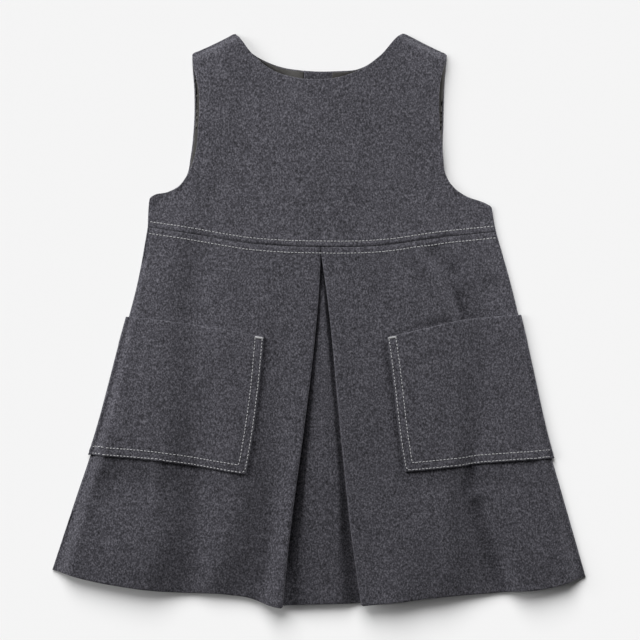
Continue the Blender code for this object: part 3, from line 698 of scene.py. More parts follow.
class Nodes:
    """A short hand for wiring one material's nodes."""

    def __init__(self, name: str) -> None:
        """Make an empty material with a Principled shader and its output.

        Args:
            name: The material's name.
        """
        self.material = bpy.data.materials.new(name)
        self.material.use_nodes = True
        self.tree = self.material.node_tree
        self.shader = self.tree.nodes["Principled BSDF"]
        self.place = self.tree.nodes.new("ShaderNodeTexCoord").outputs["Object"]

    def add(self, kind: str, inputs: dict | None = None, **settings: str) -> bpy.types.Node:
        """Add a node, set its properties, and fill its inputs with numbers or with other nodes' outputs.

        Args:
            kind: The node's Blender type.
            inputs: Input names or numbers with their values.
            settings: Properties of the node.

        Returns:
            The node.
        """
        node = self.tree.nodes.new(kind)
        for key, value in settings.items():
            setattr(node, key, value)
        for key, value in (inputs or {}).items():
            if isinstance(value, bpy.types.NodeSocket):
                self.tree.links.new(value, node.inputs[key])
            else:
                node.inputs[key].default_value = value
        return node

    def stretched(self, scale: tuple[float, float, float]) -> bpy.types.NodeSocket:
        """Object coordinates scaled unevenly, so that a pattern runs longer one way."""
        return self.add("ShaderNodeMapping", {"Vector": self.place, "Scale": scale}).outputs[0]

    def noise(self, size: float, detail: float = 0.0, roughness: float = 0.5,
              stretch: tuple[float, float, float] = (1.0, 1.0, 1.0)) -> bpy.types.NodeSocket:
        """Fractal noise whose largest lumps are size millimetres across.

        Args:
            size: Width of the largest lumps, in millimetres.
            detail: Number of finer octaves.
            roughness: Strength of each finer octave.
            stretch: Scale of the coordinates along each axis.

        Returns:
            The noise, from 0 to 1.
        """
        inputs = {"Vector": self.stretched(stretch), "Scale": 1 / (size * MM)}
        inputs |= {"Detail": detail, "Roughness": roughness}
        return self.add("ShaderNodeTexNoise", inputs).outputs["Fac"]

    def math(self, operation: str, *values: bpy.types.NodeSocket | float) -> bpy.types.NodeSocket:
        """A Math node on up to three values."""
        return self.add("ShaderNodeMath", dict(enumerate(values)), operation=operation).outputs[0]

    def mixed(self, parts: Sequence[tuple[bpy.types.NodeSocket, float]],
              middle: float) -> bpy.types.NodeSocket:
        """middle plus each part's distance from a half, times its share.

        Args:
            parts: Values with their shares.
            middle: The sum where every value is a half.

        Returns:
            The sum.
        """
        total: bpy.types.NodeSocket | float = middle
        for value, share in parts:
            centred = self.math("SUBTRACT", value, 0.5)
            total = self.math("MULTIPLY_ADD", centred, share, total)
        return total

    def ramp(self, value: bpy.types.NodeSocket, stops: Sequence[tuple[float, tuple]]) -> bpy.types.NodeSocket:
        """A colour ramp through (position, linear colour) stops.

        Args:
            value: The place on the ramp, from 0 to 1.
            stops: The stops, from the lowest up.

        Returns:
            The colour.
        """
        node = self.add("ShaderNodeValToRGB", {"Fac": value})
        elements = node.color_ramp.elements
        while len(elements) < len(stops):
            elements.new(0.5)
        for element, (position, colour) in zip(elements, stops):
            element.position, element.color = position, (*colour, 1.0)
        return node.outputs["Color"]

    def finish(self, colour: bpy.types.NodeSocket, bump: bpy.types.NodeSocket, bump_depth: float,
               **constants: float | tuple) -> bpy.types.Material:
        """Wire colour and bump to the shader and set its constants.

        Args:
            colour: The base colour.
            bump: The height for the bump, from 0 to 1.
            bump_depth: The bump's depth in millimetres.
            constants: Shader inputs, with _ for a space, set on their own sockets.

        Returns:
            The material.
        """
        self.tree.links.new(colour, self.shader.inputs["Base Color"])
        made = self.add("ShaderNodeBump", {"Height": bump, "Strength": 1.0, "Distance": bump_depth * MM})
        self.tree.links.new(made.outputs[0], self.shader.inputs["Normal"])
        for key, value in constants.items():
            self.shader.inputs[key.replace("_", " ")].default_value = value
        return self.material


@dataclass(frozen=True)
class Flannel:
    """Brushed melange flannel: dark and pale fibres teased into a soft, uneven grain along the warp.

    Its noises are as large, in millimetres, as the names say.
    """

    dark: Colour = (0.011, 0.0105, 0.0129)
    dim: Colour = (0.034, 0.033, 0.0392)
    middle: Colour = (0.070, 0.068, 0.082)
    pale: Colour = (0.205, 0.20, 0.229)
    fibre: float = 1.1
    strand: float = 1.6
    tuft: float = 2.6
    cloud: float = 7.0
    drift: float = 26.0
    nap: float = 0.45
    nap_depth: float = 0.22

    def build(self) -> bpy.types.Material:
        """Noise of five sizes, from single fibres to broad clouds, through a ramp of fibre colours.

        Returns:
            The material.
        """
        nodes = Nodes("wool_flannel_cloth")
        fibre = nodes.noise(self.fibre, 1.0, 0.7, (1.0, 0.75, 1.0))
        strand = nodes.noise(self.strand, 0.0, 0.5, (1.0, 0.7, 1.0))
        tuft = nodes.noise(self.tuft, 0.0, 0.5, (1.0, 0.8, 1.0))
        cloud = nodes.noise(self.cloud, 1.0, 0.6)
        drift = nodes.noise(self.drift, 1.0, 0.5)
        parts = ((fibre, 1.5), (strand, 0.4), (tuft, 0.1), (cloud, 0.16), (drift, 0.09))
        grain = nodes.mixed(parts, 0.5)
        stops = ((0.0, self.dark), (0.25, self.dim), (0.5, self.middle), (1.0, self.pale))
        colour = nodes.ramp(grain, stops)
        nap = nodes.noise(self.nap, 2.0, 0.7, (1.0, 0.35, 1.0))
        height = nodes.mixed(((fibre, 0.6), (nap, 0.5)), 0.5)
        return nodes.finish(
            colour, height, self.nap_depth, Roughness=0.92, Specular_IOR_Level=0.2,
            Sheen_Weight=0.25, Sheen_Roughness=0.55, Sheen_Tint=(0.75, 0.76, 0.82, 1.0),
        )


@dataclass(frozen=True)
class LiningCloth:
    """A smooth, close-woven lining with a fine twill rib and a low sheen."""

    dark: Colour = (0.055, 0.052, 0.049)
    pale: Colour = (0.082, 0.078, 0.073)
    rib: float = 0.45
    mottle: float = 3.0
    slant: float = 40.0  # degrees

    def build(self) -> bpy.types.Material:
        """Fine ribs as a slanted wave, with a faint mottle.

        Returns:
            The material.
        """
        nodes = Nodes("lining_twill")
        turn = {"Vector": nodes.place, "Rotation": (0.0, 0.0, math.radians(self.slant))}
        turned = nodes.add("ShaderNodeMapping", turn).outputs[0]
        ribs = {"Vector": turned, "Scale": 0.5 / (self.rib * MM), "Distortion": 0.3}
        wave = nodes.add("ShaderNodeTexWave", ribs).outputs["Fac"]
        mixed = nodes.mixed(((wave, 0.35), (nodes.noise(self.mottle, 2.0, 0.6), 0.6)), 0.5)
        colour = nodes.ramp(mixed, ((0.0, self.dark), (1.0, self.pale)))
        return nodes.finish(colour, wave, 0.05, Roughness=0.55, Specular_IOR_Level=0.35)


@dataclass(frozen=True)
class Thread:
    """A sewing thread between two tones of grey, by default the pale one of the topstitching."""

    name: str = "topstitching_thread"
    dark: Colour = (0.42, 0.42, 0.43)
    pale: Colour = (0.72, 0.72, 0.73)

    def build(self) -> bpy.types.Material:
        """Fine noise between the two tones.

        Returns:
            The material.
        """
        nodes = Nodes(self.name)
        fibre = nodes.noise(0.3, 2.0, 0.6)
        colour = nodes.ramp(fibre, ((0.25, self.dark), (0.75, self.pale)))
        return nodes.finish(colour, fibre, 0.03, Roughness=0.6, Specular_IOR_Level=0.3)


BUTTON_THREAD = Thread("button_thread", (0.03, 0.03, 0.034), (0.08, 0.08, 0.088))


@dataclass(frozen=True)
class Resin:
    """Dark, faintly marbled polyester resin with a satin face."""

    dark: Colour = (0.022, 0.021, 0.023)
    pale: Colour = (0.075, 0.072, 0.074)

    def build(self) -> bpy.types.Material:
        """Stretched clouds between two greys, with a breath of unevenness in the polish.

        Returns:
            The material.
        """
        nodes = Nodes("button_resin_marbled")
        cloud = nodes.noise(4.0, 3.0, 0.6, (1.0, 0.4, 1.0))
        colour = nodes.ramp(cloud, ((0.3, self.dark), (0.75, self.pale)))
        return nodes.finish(colour, nodes.noise(1.5, 1.0), 0.02, Roughness=0.33, Specular_IOR_Level=0.5)


@dataclass(frozen=True)
class Paper:
    """The matt, pale surface that the dress lies on."""

    colour: Colour = (0.86, 0.86, 0.86)

    def build(self) -> bpy.types.Material:
        """One even colour; the tooth noise feeds a bump of no depth.

        Returns:
            The material.
        """
        nodes = Nodes("pale_paper")
        tooth = nodes.noise(2.0, 1.0)
        colour = nodes.ramp(tooth, ((0.0, self.colour), (1.0, self.colour)))
        return nodes.finish(colour, tooth, 0.0, Roughness=0.95, Specular_IOR_Level=0.1)


@dataclass(frozen=True)
class Wardrobe:
    """Every finish, built once."""

    flannel: bpy.types.Material
    lining: bpy.types.Material
    thread: bpy.types.Material
    dark_thread: bpy.types.Material
    resin: bpy.types.Material
    paper: bpy.types.Material

    @staticmethod
    def build() -> "Wardrobe":
        """Build the six finishes."""
        return Wardrobe(
            Flannel().build(), LiningCloth().build(), Thread().build(), BUTTON_THREAD.build(),
            Resin().build(), Paper().build(),
        )


def declare(piece: bpy.types.Object, slot: Slot | None, *nodes: str) -> bpy.types.Object:
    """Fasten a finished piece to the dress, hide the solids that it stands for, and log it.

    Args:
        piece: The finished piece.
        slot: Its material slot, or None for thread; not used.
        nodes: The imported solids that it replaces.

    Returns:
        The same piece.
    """
    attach(piece, BODY)
    if nodes:
        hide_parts(*nodes)
    LOG.info("%s: %d faces", piece.name, len(piece.data.polygons))
    return piece


def lay(piece: bpy.types.Object, slot: Slot, node: str) -> None:
    """Declare a laid sheet.

    Args:
        piece: The finished piece.
        slot: Its material slot.
        node: The solid that it stands for.
    """
    declare(piece, slot, node)


# ---------------------------------------------------------------- the waist seam and its stitched band


@dataclass(frozen=True)
class WaistSeam:
    """The waist seam, pressed open and topstitched on both sides."""

    row_above: float = 4.5
    row_below: float = 4.8
    band_rise: float = 0.32  # the pressed allowances under the band
    band_ends: Point = (4.5, 9.0)  # from the seam, between which the band falls away
    stitch_dip: float = 0.34
    stitch_half: float = 0.95
    seam_dip: float = 0.62
    seam_half: float = 0.9
    pucker: float = 5.5  # mean length of a pucker
    least: float = 0.55  # share of the rows' grooves that is always there, and what the puckers add to it
    added: float = 0.9
    open_left: tuple[float, ...] = (-100.0, -88.0, -32.0, -20.0)  # x between which the seam gapes
    open_right: tuple[float, ...] = (40.0, 60.0, 96.0, 112.0)
    closed_share: float = 0.15  # of the seam's groove, where it is closed
    gape: float = 9.0  # mean length over which the seam's depth varies
    back_share: float = 0.6  # of the grooves' depth, on the back's floor side

    def relief(self, x: Array, y: Array) -> Array:
        """Extra height of the front's face near the seam: a low rise over the allowances, and grooves.

        Args:
            x: Millimetres to the right of the middle.
            y: Millimetres towards the neck.

        Returns:
            Heights in millimetres, shaped like x.
        """
        above = y - WAIST.y_at(x)
        rise = self.band_rise * (1 - ramp(np.abs(above), *self.band_ends))
        return rise + self.grooves(x, y)

    def grooves(self, x: Array, y: Array) -> Array:
        """A groove under each row of stitches and one in the seam itself, all uneven along the seam.

        Args:
            x: Millimetres to the right of the middle.
            y: Millimetres towards the neck.

        Returns:
            Heights in millimetres, none above zero.
        """
        above = y - WAIST.y_at(x)
        uneven = self.least + self.added * wander(x, self.pucker, SEED)
        rows = groove(above - self.row_above, self.stitch_dip, self.stitch_half)
        rows = rows + groove(above + self.row_below, self.stitch_dip, self.stitch_half)
        gapes = np.maximum(between(x, *self.open_left), between(x, *self.open_right))
        seam = groove(above, self.seam_dip, self.seam_half)
        seam = seam * (self.closed_share + (1 - self.closed_share) * gapes)
        return rows * uneven + seam * (0.5 + wander(x, self.gape, SEED + 1))


WAIST_SEAM = WaistSeam()


# ---------------------------------------------------------------- pieces of the front


@dataclass(frozen=True)
class FrontInset:
    """How far a front armhole edge lies inside the back's, so that the lining shows behind it."""

    most: float
    starts: float
    full: float
    narrows: float

    def edge(self, cut: SideCut) -> Line:
        """The back's armhole edge, moved in.

        Args:
            cut: The side's cut lines.

        Returns:
            The front's armhole edge.
        """
        x, y = np.array(cut.armhole.points).T
        share = between(y, self.starts, self.full, self.narrows, y[-1])
        return Line(tuple(zip(x - cut.side * self.most * share, y)))


@dataclass(frozen=True)
class FrontBodice:
    """The front bodice, cut in one, from the waist seam to the neck and the shoulders."""

    insets: tuple[FrontInset, ...] = (
        FrontInset(3.6, 108.0, 132.0, 180.0),
        FrontInset(3.4, 122.0, 160.0, 190.0),
    )
    steps_side: int = 18
    steps_armhole: int = 86
    steps_shoulder: int = 24
    steps_neck: int = 110

    def middle(self) -> Array:
        """The Coons patch between waist, armholes, shoulders and neck, raised to the front's height.

        Returns:
            (rows, columns, 3) points in millimetres, rows from hem to neck.
        """
        bottom = WAIST.moved(0, CLOSE / 2).even(2 * self.steps_shoulder + self.steps_neck)
        top = chain(
            (LEFT.shoulder, self.steps_shoulder), (FRONT_NECK, self.steps_neck),
            (RIGHT.shoulder, self.steps_shoulder),
        )
        left, right = (
            chain((cut.bodice_side, self.steps_side), (inset.edge(cut), self.steps_armhole))
            for cut, inset in zip((LEFT, RIGHT), self.insets)
        )
        left[0], right[0] = bottom[0], bottom[-1]
        grid = coons(bottom, top, left, right)
        return np.dstack([grid, FRONT.height(grid[..., 0], grid[..., 1])])

    def build(self, finishes: Wardrobe) -> bpy.types.Object:
        """Args:
            finishes: Every finish.

        Returns:
            The piece.
        """
        middle = self.middle()
        relief = WAIST_SEAM.relief(middle[..., 0], middle[..., 1])
        piece = Wall().build("front_bodice_cloth", middle, finishes.flannel, relief)
        lay(piece, Slot.WOOL, "front_bodice")
        return piece


@dataclass(frozen=True)
class Pleat:
    """The inverted box pleat in the middle of the front skirt."""

    depth: float = 40.0  # from the fold's edge to the inner fold, at the waist
    layer: float = WOOL + 0.3
    bend_steps: int = 8
    return_steps: int = 16
    hollow: float = 0.7  # share of the return under which the underlay lies low, with a gap over it
    underlay_steps: int = 34
    hem_step: float = 1.5  # the folded layers end this much higher than the faces' hem

    @property
    def radius(self) -> float:
        """Radius of the cloth's middle round a fold."""
        return self.layer / 2

    @property
    def reach(self) -> float:
        """From the centre of a fold's bend to its outer face."""
        return self.radius + WOOL / 2

    def bend(self, centre: Array, normal: Array, tangent: Array, outward: int) -> Array:
        """Middle points round a bend, a half circle from the normal's side to the other, without its ends.

        Args:
            centre: The centre of the bend at each row.
            normal: The cloth's unit normal there.
            tangent: Its unit tangent along X.
            outward: The side on which the bend stands out, -1 for left and 1 for right.

        Returns:
            (rows, columns, 3) points.
        """
        angles = np.pi / 2 - np.pi * np.arange(1, self.bend_steps) / self.bend_steps
        turn = outward * self.radius * np.cos(angles)[None, :, None] * tangent[:, None]
        return centre[:, None] + turn + self.radius * np.sin(angles)[None, :, None] * normal[:, None]

    def folded_under(self, face: Array, side: int, depth: Array) -> Array:
        """The layers under one face of the skirt: its bend, the return, the inner bend, the covered underlay.

        Args:
            face: (rows, columns, 2) grid of the face.
            side: -1 for the left face and 1 for the right.
            depth: How deep the return goes at each row.

        Returns:
            (rows, columns, 3) middle points, from the face's folded edge on.
        """
        edge = face[:, -1] if side < 0 else face[:, 0]
        share = np.linspace(0, 1, self.return_steps + 1)
        run_x = edge[:, :1] + side * depth[:, None] * share
        run_y = np.array([np.interp(xs, row[:, 0], row[:, 1]) for xs, row in zip(run_x, face)])
        point, normal, tangent = FRONT.frame(run_x, run_y)
        outer = self.bend(point[:, 0] - self.radius * normal[:, 0], normal[:, 0], tangent[:, 0], -side)
        returned = point - self.layer * normal
        inner_centre = point[:, -1] - (self.layer + self.radius) * normal[:, -1]
        inner = self.bend(inner_centre, normal[:, -1], tangent[:, -1], side)
        covered = (point - 2 * self.layer * normal)[:, ::-1]
        floor = hermite(LEVELS, UNDERLAY_LEFT_Z if side < 0 else UNDERLAY_RIGHT_Z, covered[..., 1])
        sag = 1 - ramp(share[::-1], 0.0, self.hollow)
        covered[..., 2] += np.minimum(floor - covered[..., 2], 0.0) * sag[None, :]
        layers = np.concatenate([outer, returned, inner, covered], axis=1)
        near_hem = np.linspace(1, 0, len(layers))[:, None] ** 4
        past_bend = np.clip(np.arange(1, layers.shape[1] + 1) / self.bend_steps, 0, 1)[None, :]
        layers[..., 1] += self.hem_step * near_hem * past_bend
        return layers


PLEAT = Pleat()


@dataclass(frozen=True)
class FrontSkirt:
    """The flared front skirt: two faces and the pleat between them, in one cloth."""

    steps_hem: int = 58
    steps_pocket: int = 64
    steps_top: int = 42
    columns_pocket: int = 66
    columns_pleat: int = 34
    crowding: float = 1.2  # above 1, the columns lie closer together near the side seam
    crest_opens: Point = (5.0, 10.0)  # widths of the pleat's opening between which its crest rises
    crest_share: Point = (0.35, 0.7)  # of the opening and of the folds' reach, for the crest's flanks

    def face(self, cut: SideCut) -> Array:
        """One face, from the side seam to the middle of its pleat's bend, along the pocket's edges.

        Args:
            cut: The side's cut lines.

        Returns:
            (rows, columns, 2) points, in columns from left to right.
        """
        rows = (self.steps_hem, self.steps_pocket, self.steps_top)
        wide = np.linspace(0, 1, self.columns_pocket + 1) ** self.crowding
        narrow = np.linspace(0, 1, self.columns_pleat + 1)
        across = (cut.hem, cut.pocket_bottom, cut.pocket_top, WAIST.moved(0, -CLOSE / 2))
        up = (cut.skirt_side, cut.pocket_inner, cut.pleat.moved(cut.side * PLEAT.reach, 0))
        if cut is LEFT:
            return patchwork(across, up, rows, (wide, narrow))
        return patchwork(across, up[::-1], rows, (narrow, 1 - wide[::-1]))

    def middle(self) -> tuple[Array, Array]:
        """Middle points from side seam to side seam along the cloth, and 1 where a point is on a face.

        Returns:
            The (rows, columns, 3) points, and the (rows, columns) ones and zeros.
        """
        faces = (self.face(LEFT), self.face(RIGHT))
        open_width = faces[1][:, 0, 0] - faces[0][:, -1, 0]
        depth = PLEAT.depth - open_width / 4
        left, right = (PLEAT.folded_under(face, side, depth) for face, side in zip(faces, (-1, 1)))
        share = np.linspace(0, 1, PLEAT.underlay_steps + 1)[1:-1]
        shown = left[:, -1:] * (1 - share[None, :, None]) + right[:, -1:] * share[None, :, None]
        crest = hermite(LEVELS, UNDERLAY_Z, shown[..., 1])
        risen = ramp(open_width, *self.crest_opens)[:, None]
        narrow = (self.crest_share[0] * open_width - self.crest_share[1] * PLEAT.reach).clip(1.0)[:, None]
        for across, reaches in ((share, CREST_LEFT), (1 - share, CREST_RIGHT)):
            past_fold = across[None, :] * open_width[:, None] - PLEAT.reach
            flank = np.minimum(narrow, hermite(LEVELS, reaches, shown[..., 1]))
            risen = risen * smooth(past_fold / flank)
        shown[..., 2] += (crest - shown[..., 2]) * risen
        sheets = [np.dstack([face, FRONT.height(face[..., 0], face[..., 1])]) for face in faces]
        parts = [sheets[0], left, shown, right[:, ::-1], sheets[1]]
        shown_part = (1.0, 0.0, 0.0, 0.0, 1.0)
        on_face = [np.full(part.shape[:2], value) for part, value in zip(parts, shown_part)]
        return np.concatenate(parts, axis=1), np.concatenate(on_face, axis=1)

    def build(self, finishes: Wardrobe) -> bpy.types.Object:
        """Args:
            finishes: Every finish.

        Returns:
            The piece.
        """
        middle, on_face = self.middle()
        relief = WAIST_SEAM.relief(middle[..., 0], middle[..., 1]) * on_face
        piece = Wall().build("front_skirt_cloth", middle, finishes.flannel, relief)
        lay(piece, Slot.WOOL, "front_skirt")
        return piece


@dataclass(frozen=True)
class PocketRow:
    """A row of stitches that follows a pocket's edge, and the groove that it presses."""

    inset: float  # from the pocket's edge
    corner: float  # how far from the corner the row begins to turn
    dip: float
    half_width: float


@dataclass(frozen=True)
class Pocket:
    """A patch pocket, caught in the side seam, stitched down its inner side and along its bottom."""

    cut: SideCut
    rows: tuple[PocketRow, ...] = (PocketRow(1.3, 3.0, 0.3, 0.9), PocketRow(6.7, 0.3, 0.34, 0.95))
    row_starts: float = 0.6  # below the pocket's mouth
    row_ends: float = 0.8  # short of the side seam
    pucker: float = 5.0  # mean length of a pucker along a row
    pucker_slant: float = 1.7  # so that the puckers vary along the bottom and down the inner side
    row_steps: int = 120
    corner_steps: int = 12
    lift: float = 0.08  # between the pocket and the skirt
    edge_reach: float = 0.35  # width of the pressed edge's rounding
    roll: tuple[Point, ...] = ((0.95, 4.2), (1.3, 3.2), (1.3, 2.0))  # past the side seam, middle's height
    swell: float = 0.22  # the turned edges under the face
    turned_edge: Point = (7.0, 11.0)  # between which the turned edge ends
    turned_mouth: Point = (20.0, 24.0)
    skirt: FrontSkirt = FrontSkirt()

    @property
    def name(self) -> str:
        """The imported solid's name."""
        return "pocket_left" if self.cut is LEFT else "pocket_right"

    def edge_distances(self, x: Array, y: Array) -> tuple[Array, Array, Array]:
        """How far a point lies inside the bottom, the top and the inner edge.

        Args:
            x: Millimetres to the right of the middle.
            y: Millimetres towards the neck.

        Returns:
            The three distances in millimetres, shaped like x.
        """
        cut = self.cut
        inner = cut.side * (x - cut.pocket_inner.x_at(y))
        return y - cut.pocket_bottom.y_at(x), cut.pocket_top.y_at(x) - y, inner

    def relief(self, x: Array, y: Array) -> Array:
        """Extra height of the pocket's face: turned edges swell, and the rows of stitches press in.

        Args:
            x: Millimetres to the right of the middle.
            y: Millimetres towards the neck.

        Returns:
            Heights in millimetres, shaped like x.
        """
        low, high, inner = self.edge_distances(x, y)
        sewn = np.minimum(low, inner)
        swell = self.swell * (1 - np.minimum(ramp(sewn, *self.turned_edge), ramp(high, *self.turned_mouth)))
        uneven = 0.5 + wander(x + self.pucker_slant * y, self.pucker, SEED + 3)
        return swell + uneven * sum(groove(sewn - row.inset, row.dip, row.half_width) for row in self.rows)

    def surface(self, x: Array, y: Array) -> tuple[Array, Array]:
        """Points and normals of the pocket's outer face."""
        point, normal, _ = FRONT.frame(x, y, spanning=True)
        return point + normal * (WOOL * 1.5 + self.lift + self.relief(x, y))[..., None], normal

    def middle(self) -> Array:
        """The skirt's own points, moved out by the cloth, and an edge rolled over the side seam.

        Returns:
            (rows, columns, 3) points in millimetres, rows from hem to neck.
        """
        face = self.skirt.face(self.cut)
        rows = slice(self.skirt.steps_hem, self.skirt.steps_hem + self.skirt.steps_pocket + 1)
        wide = self.skirt.columns_pocket + 1
        grid = face[rows, :wide] if self.cut is LEFT else face[rows, -wide:]
        point, normal, _ = FRONT.frame(grid[..., 0], grid[..., 1], spanning=True)
        body = point + (WOOL + self.lift) * normal
        seam = point[:, 0] if self.cut is LEFT else point[:, -1]
        past, heights = np.array(self.roll).T
        rolled = np.repeat(seam[:, None], len(self.roll), axis=1)
        rolled[..., 0] += self.cut.side * past
        rolled[..., 2] = heights
        return np.concatenate([rolled[:, ::-1], body] if self.cut is LEFT else [body, rolled], axis=1)

    def build(self, finishes: Wardrobe) -> bpy.types.Object:
        """Args:
            finishes: Every finish.

        Returns:
            The piece.
        """
        middle = self.middle()
        relief = self.relief(middle[..., 0], middle[..., 1])
        wall = Wall(edge_reach=self.edge_reach)
        piece = wall.build(f"{self.name}_cloth", middle, finishes.flannel, relief)
        lay(piece, Slot.WOOL, self.name)
        return piece

    def stitch_paths(self) -> list[Array]:
        """Both rows of topstitching, from the pocket's top down its inner side and out along its bottom.

        Returns:
            (n, 2) points for each row, closely spaced.
        """
        cut = self.cut
        paths = []
        for row in self.rows:
            down = cut.pocket_inner.beside(-cut.side * row.inset)
            out = cut.pocket_bottom.beside(row.inset)
            start = cut.pocket_top.meets(down)
            turn = out.meets(down)
            end = cut.pocket_bottom.meets(cut.skirt_side)
            first = down.at(1, np.linspace(start[1] - self.row_starts, turn[1] + row.corner, self.row_steps))
            from_x, to_x = turn[0] + cut.side * row.corner, end[0] - cut.side * self.row_ends
            last = out.at(0, np.linspace(from_x, to_x, self.row_steps))
            t = np.linspace(0, 1, self.corner_steps)[1:-1, None]
            arc = (1 - t) ** 2 * first[-1] + 2 * t * (1 - t) * turn + t * t * last[0]
            paths.append(np.concatenate([first, arc, last]))
        return paths


# ---------------------------------------------------------------- pieces of the back


@dataclass(frozen=True)
class BackHalf:
    """One half of the back bodice. The distances run from the centre line towards the half's own side."""

    name: str
    cut: SideCut
    lining_end: float  # where the lining stops beside the opening
    lift_full: float  # as far as the buttons' full lift reaches
    lift_end: float  # where the half lies on the floor again
    under: float  # height of the layer under it at the opening
    opening_half: float = 12.0  # the half reaches this far past the centre line
    button_lift: float = 2.7
    lift_start: float = 58.0
    lift_length: float = 29.0
    curl: float = 1.6  # rise of the neck edge, and the length over which it rises
    curl_length: float = 9.0
    curl_ends: Point = (34.0, 54.0)  # from the centre line
    lining_low: float = 100.5  # y of the lining's lower edge
    lining_in: float = 1.0  # from the armhole's and the neck's edge
    lining_drop: float = 8.0  # from the shoulder
    lining_slant: float = 6.0  # rise of the lining's lower edge as far as the armhole
    neck_blend: float = 8.0  # x over which the neck's drop turns into the shoulder's
    rows: int = 92
    rows_side: int = 14
    columns: int = 76
    columns_shoulder: int = 22

    def height(self, x: Array, y: Array) -> Array:
        """Height of the middle: flat on the floor, lifted near the opening and curled up at the neck.

        Args:
            x: Millimetres to the right of the middle.
            y: Millimetres towards the neck.

        Returns:
            Heights in millimetres, shaped like x.
        """
        lift = self.button_lift * ramp(y, self.lift_start, self.lift_start + self.lift_length)
        lifted = (self.under + lift) * (1 - ramp(self.cut.side * x, self.lift_full, self.lift_end))
        below_neck = BACK_NECK.y_at(x) - y
        curled = self.curl * (1 - ramp(below_neck, 0.0, self.curl_length))
        return BACK_Z + lifted + curled * (1 - ramp(np.abs(x), *self.curl_ends))

    def grid(self, armhole_in: float = 0.0, bottom_y: float | None = None, start_x: float | None = None,
             drop: float = 0.0, shoulder_drop: float = 0.0) -> Array:
        """A Coons patch over the half, in columns from left to right.

        Args:
            armhole_in: How far the armhole edge is moved in.
            bottom_y: y at which the patch starts, or None for the waist seam.
            start_x: Where it starts beside the opening, or None for the half's own edge.
            drop: How far the neck edge is lowered.
            shoulder_drop: How far the shoulder edge is lowered.

        Returns:
            (rows, columns, 2) points.
        """
        cut = self.cut
        shoulder = cut.shoulder.reversed() if cut is LEFT else cut.shoulder  # from the neck out
        start = cut.side * (-self.opening_half if start_x is None else start_x)
        neck_x = shoulder.points[0][0]
        count = self.columns - self.columns_shoulder
        neck = BACK_NECK.at(0, np.linspace(start, neck_x, count + 1))
        top = np.concatenate([neck, shoulder.even(self.columns_shoulder)[1:]])
        past_neck = ramp(np.abs(top[:, 0]), abs(neck_x) - self.neck_blend, abs(neck_x))
        top[:, 1] -= drop + (shoulder_drop - drop) * past_neck
        edge = cut.armhole.moved(-cut.side * armhole_in, 0)
        if bottom_y is None:
            outer = chain((cut.bodice_side, self.rows_side), (edge, self.rows - self.rows_side))
            bottom = WAIST.moved(0, CLOSE / 2).at(0, np.linspace(start, outer[0, 0], self.columns + 1))
            outer[0] = bottom[-1]
        else:
            outer = edge.at(1, np.linspace(bottom_y + self.lining_slant, top[-1, 1], self.rows + 1))
            t = np.linspace(0, 1, self.columns + 1)[:, None]
            bottom = (1 - t) * np.array([start, bottom_y]) + t * outer[0]
        top[-1] = outer[-1]
        opening = np.linspace(bottom[0], top[0], self.rows + 1)
        patch = coons(bottom, top, opening, outer)
        return patch[:, ::-1] if cut is LEFT else patch

    def build(self, finishes: Wardrobe) -> tuple[bpy.types.Object, bpy.types.Object]:
        """Args:
            finishes: Every finish.

        Returns:
            The two pieces.
        """
        grid = self.grid()
        middle = np.dstack([grid, self.height(grid[..., 0], grid[..., 1])])
        pressed = WAIST_SEAM.back_share * WAIST_SEAM.grooves(grid[..., 0], grid[..., 1])
        cloth = Wall().build(f"back_bodice_{self.name}_cloth", middle, finishes.flannel, under=pressed)
        lay(cloth, Slot.WOOL, f"back_bodice_{self.name}")
        grid = self.grid(self.lining_in, self.lining_low, self.lining_end, self.lining_in, self.lining_drop)
        above = WOOL / 2 + CLOSE + LINING / 2
        inside = np.dstack([grid, above + self.height(grid[..., 0], grid[..., 1])])
        lining = Wall(LINING, 0.5).build(f"back_lining_{self.name}_cloth", inside, finishes.lining)
        lay(lining, Slot.LINING, f"back_lining_{self.name}")
        return cloth, lining


BACK_LEFT = BackHalf("left", LEFT, 12.1, 13.5, 27.5, 0.0)
BACK_RIGHT = BackHalf("right", RIGHT, 10.0, 15.0, 39.0, WOOL + CLOSE)


@dataclass(frozen=True)
class BackFold:
    """A shallow fold of the back skirt that stands off the floor."""

    waist_x: float
    hem_x: float
    high: float
    half_width: float

    def rise(self, x: Array, down: Array) -> Array:
        """high times exp(−(distance to the fold's line / half width)²), down running from waist to hem."""
        away = x - self.waist_x - (self.hem_x - self.waist_x) * down
        return self.high * np.exp(-((away / self.half_width) ** 2))


BACK_FOLDS = (
    BackFold(-116.0, -176.0, 1.6, 9.0),
    BackFold(-88.0, -131.0, 1.0, 14.0),
    BackFold(-66.0, -92.0, 1.4, 8.0),
    BackFold(64.0, 96.0, 1.2, 10.0),
    BackFold(84.0, 127.0, 1.5, 13.0),
    BackFold(116.0, 172.0, 1.1, 8.0),
)


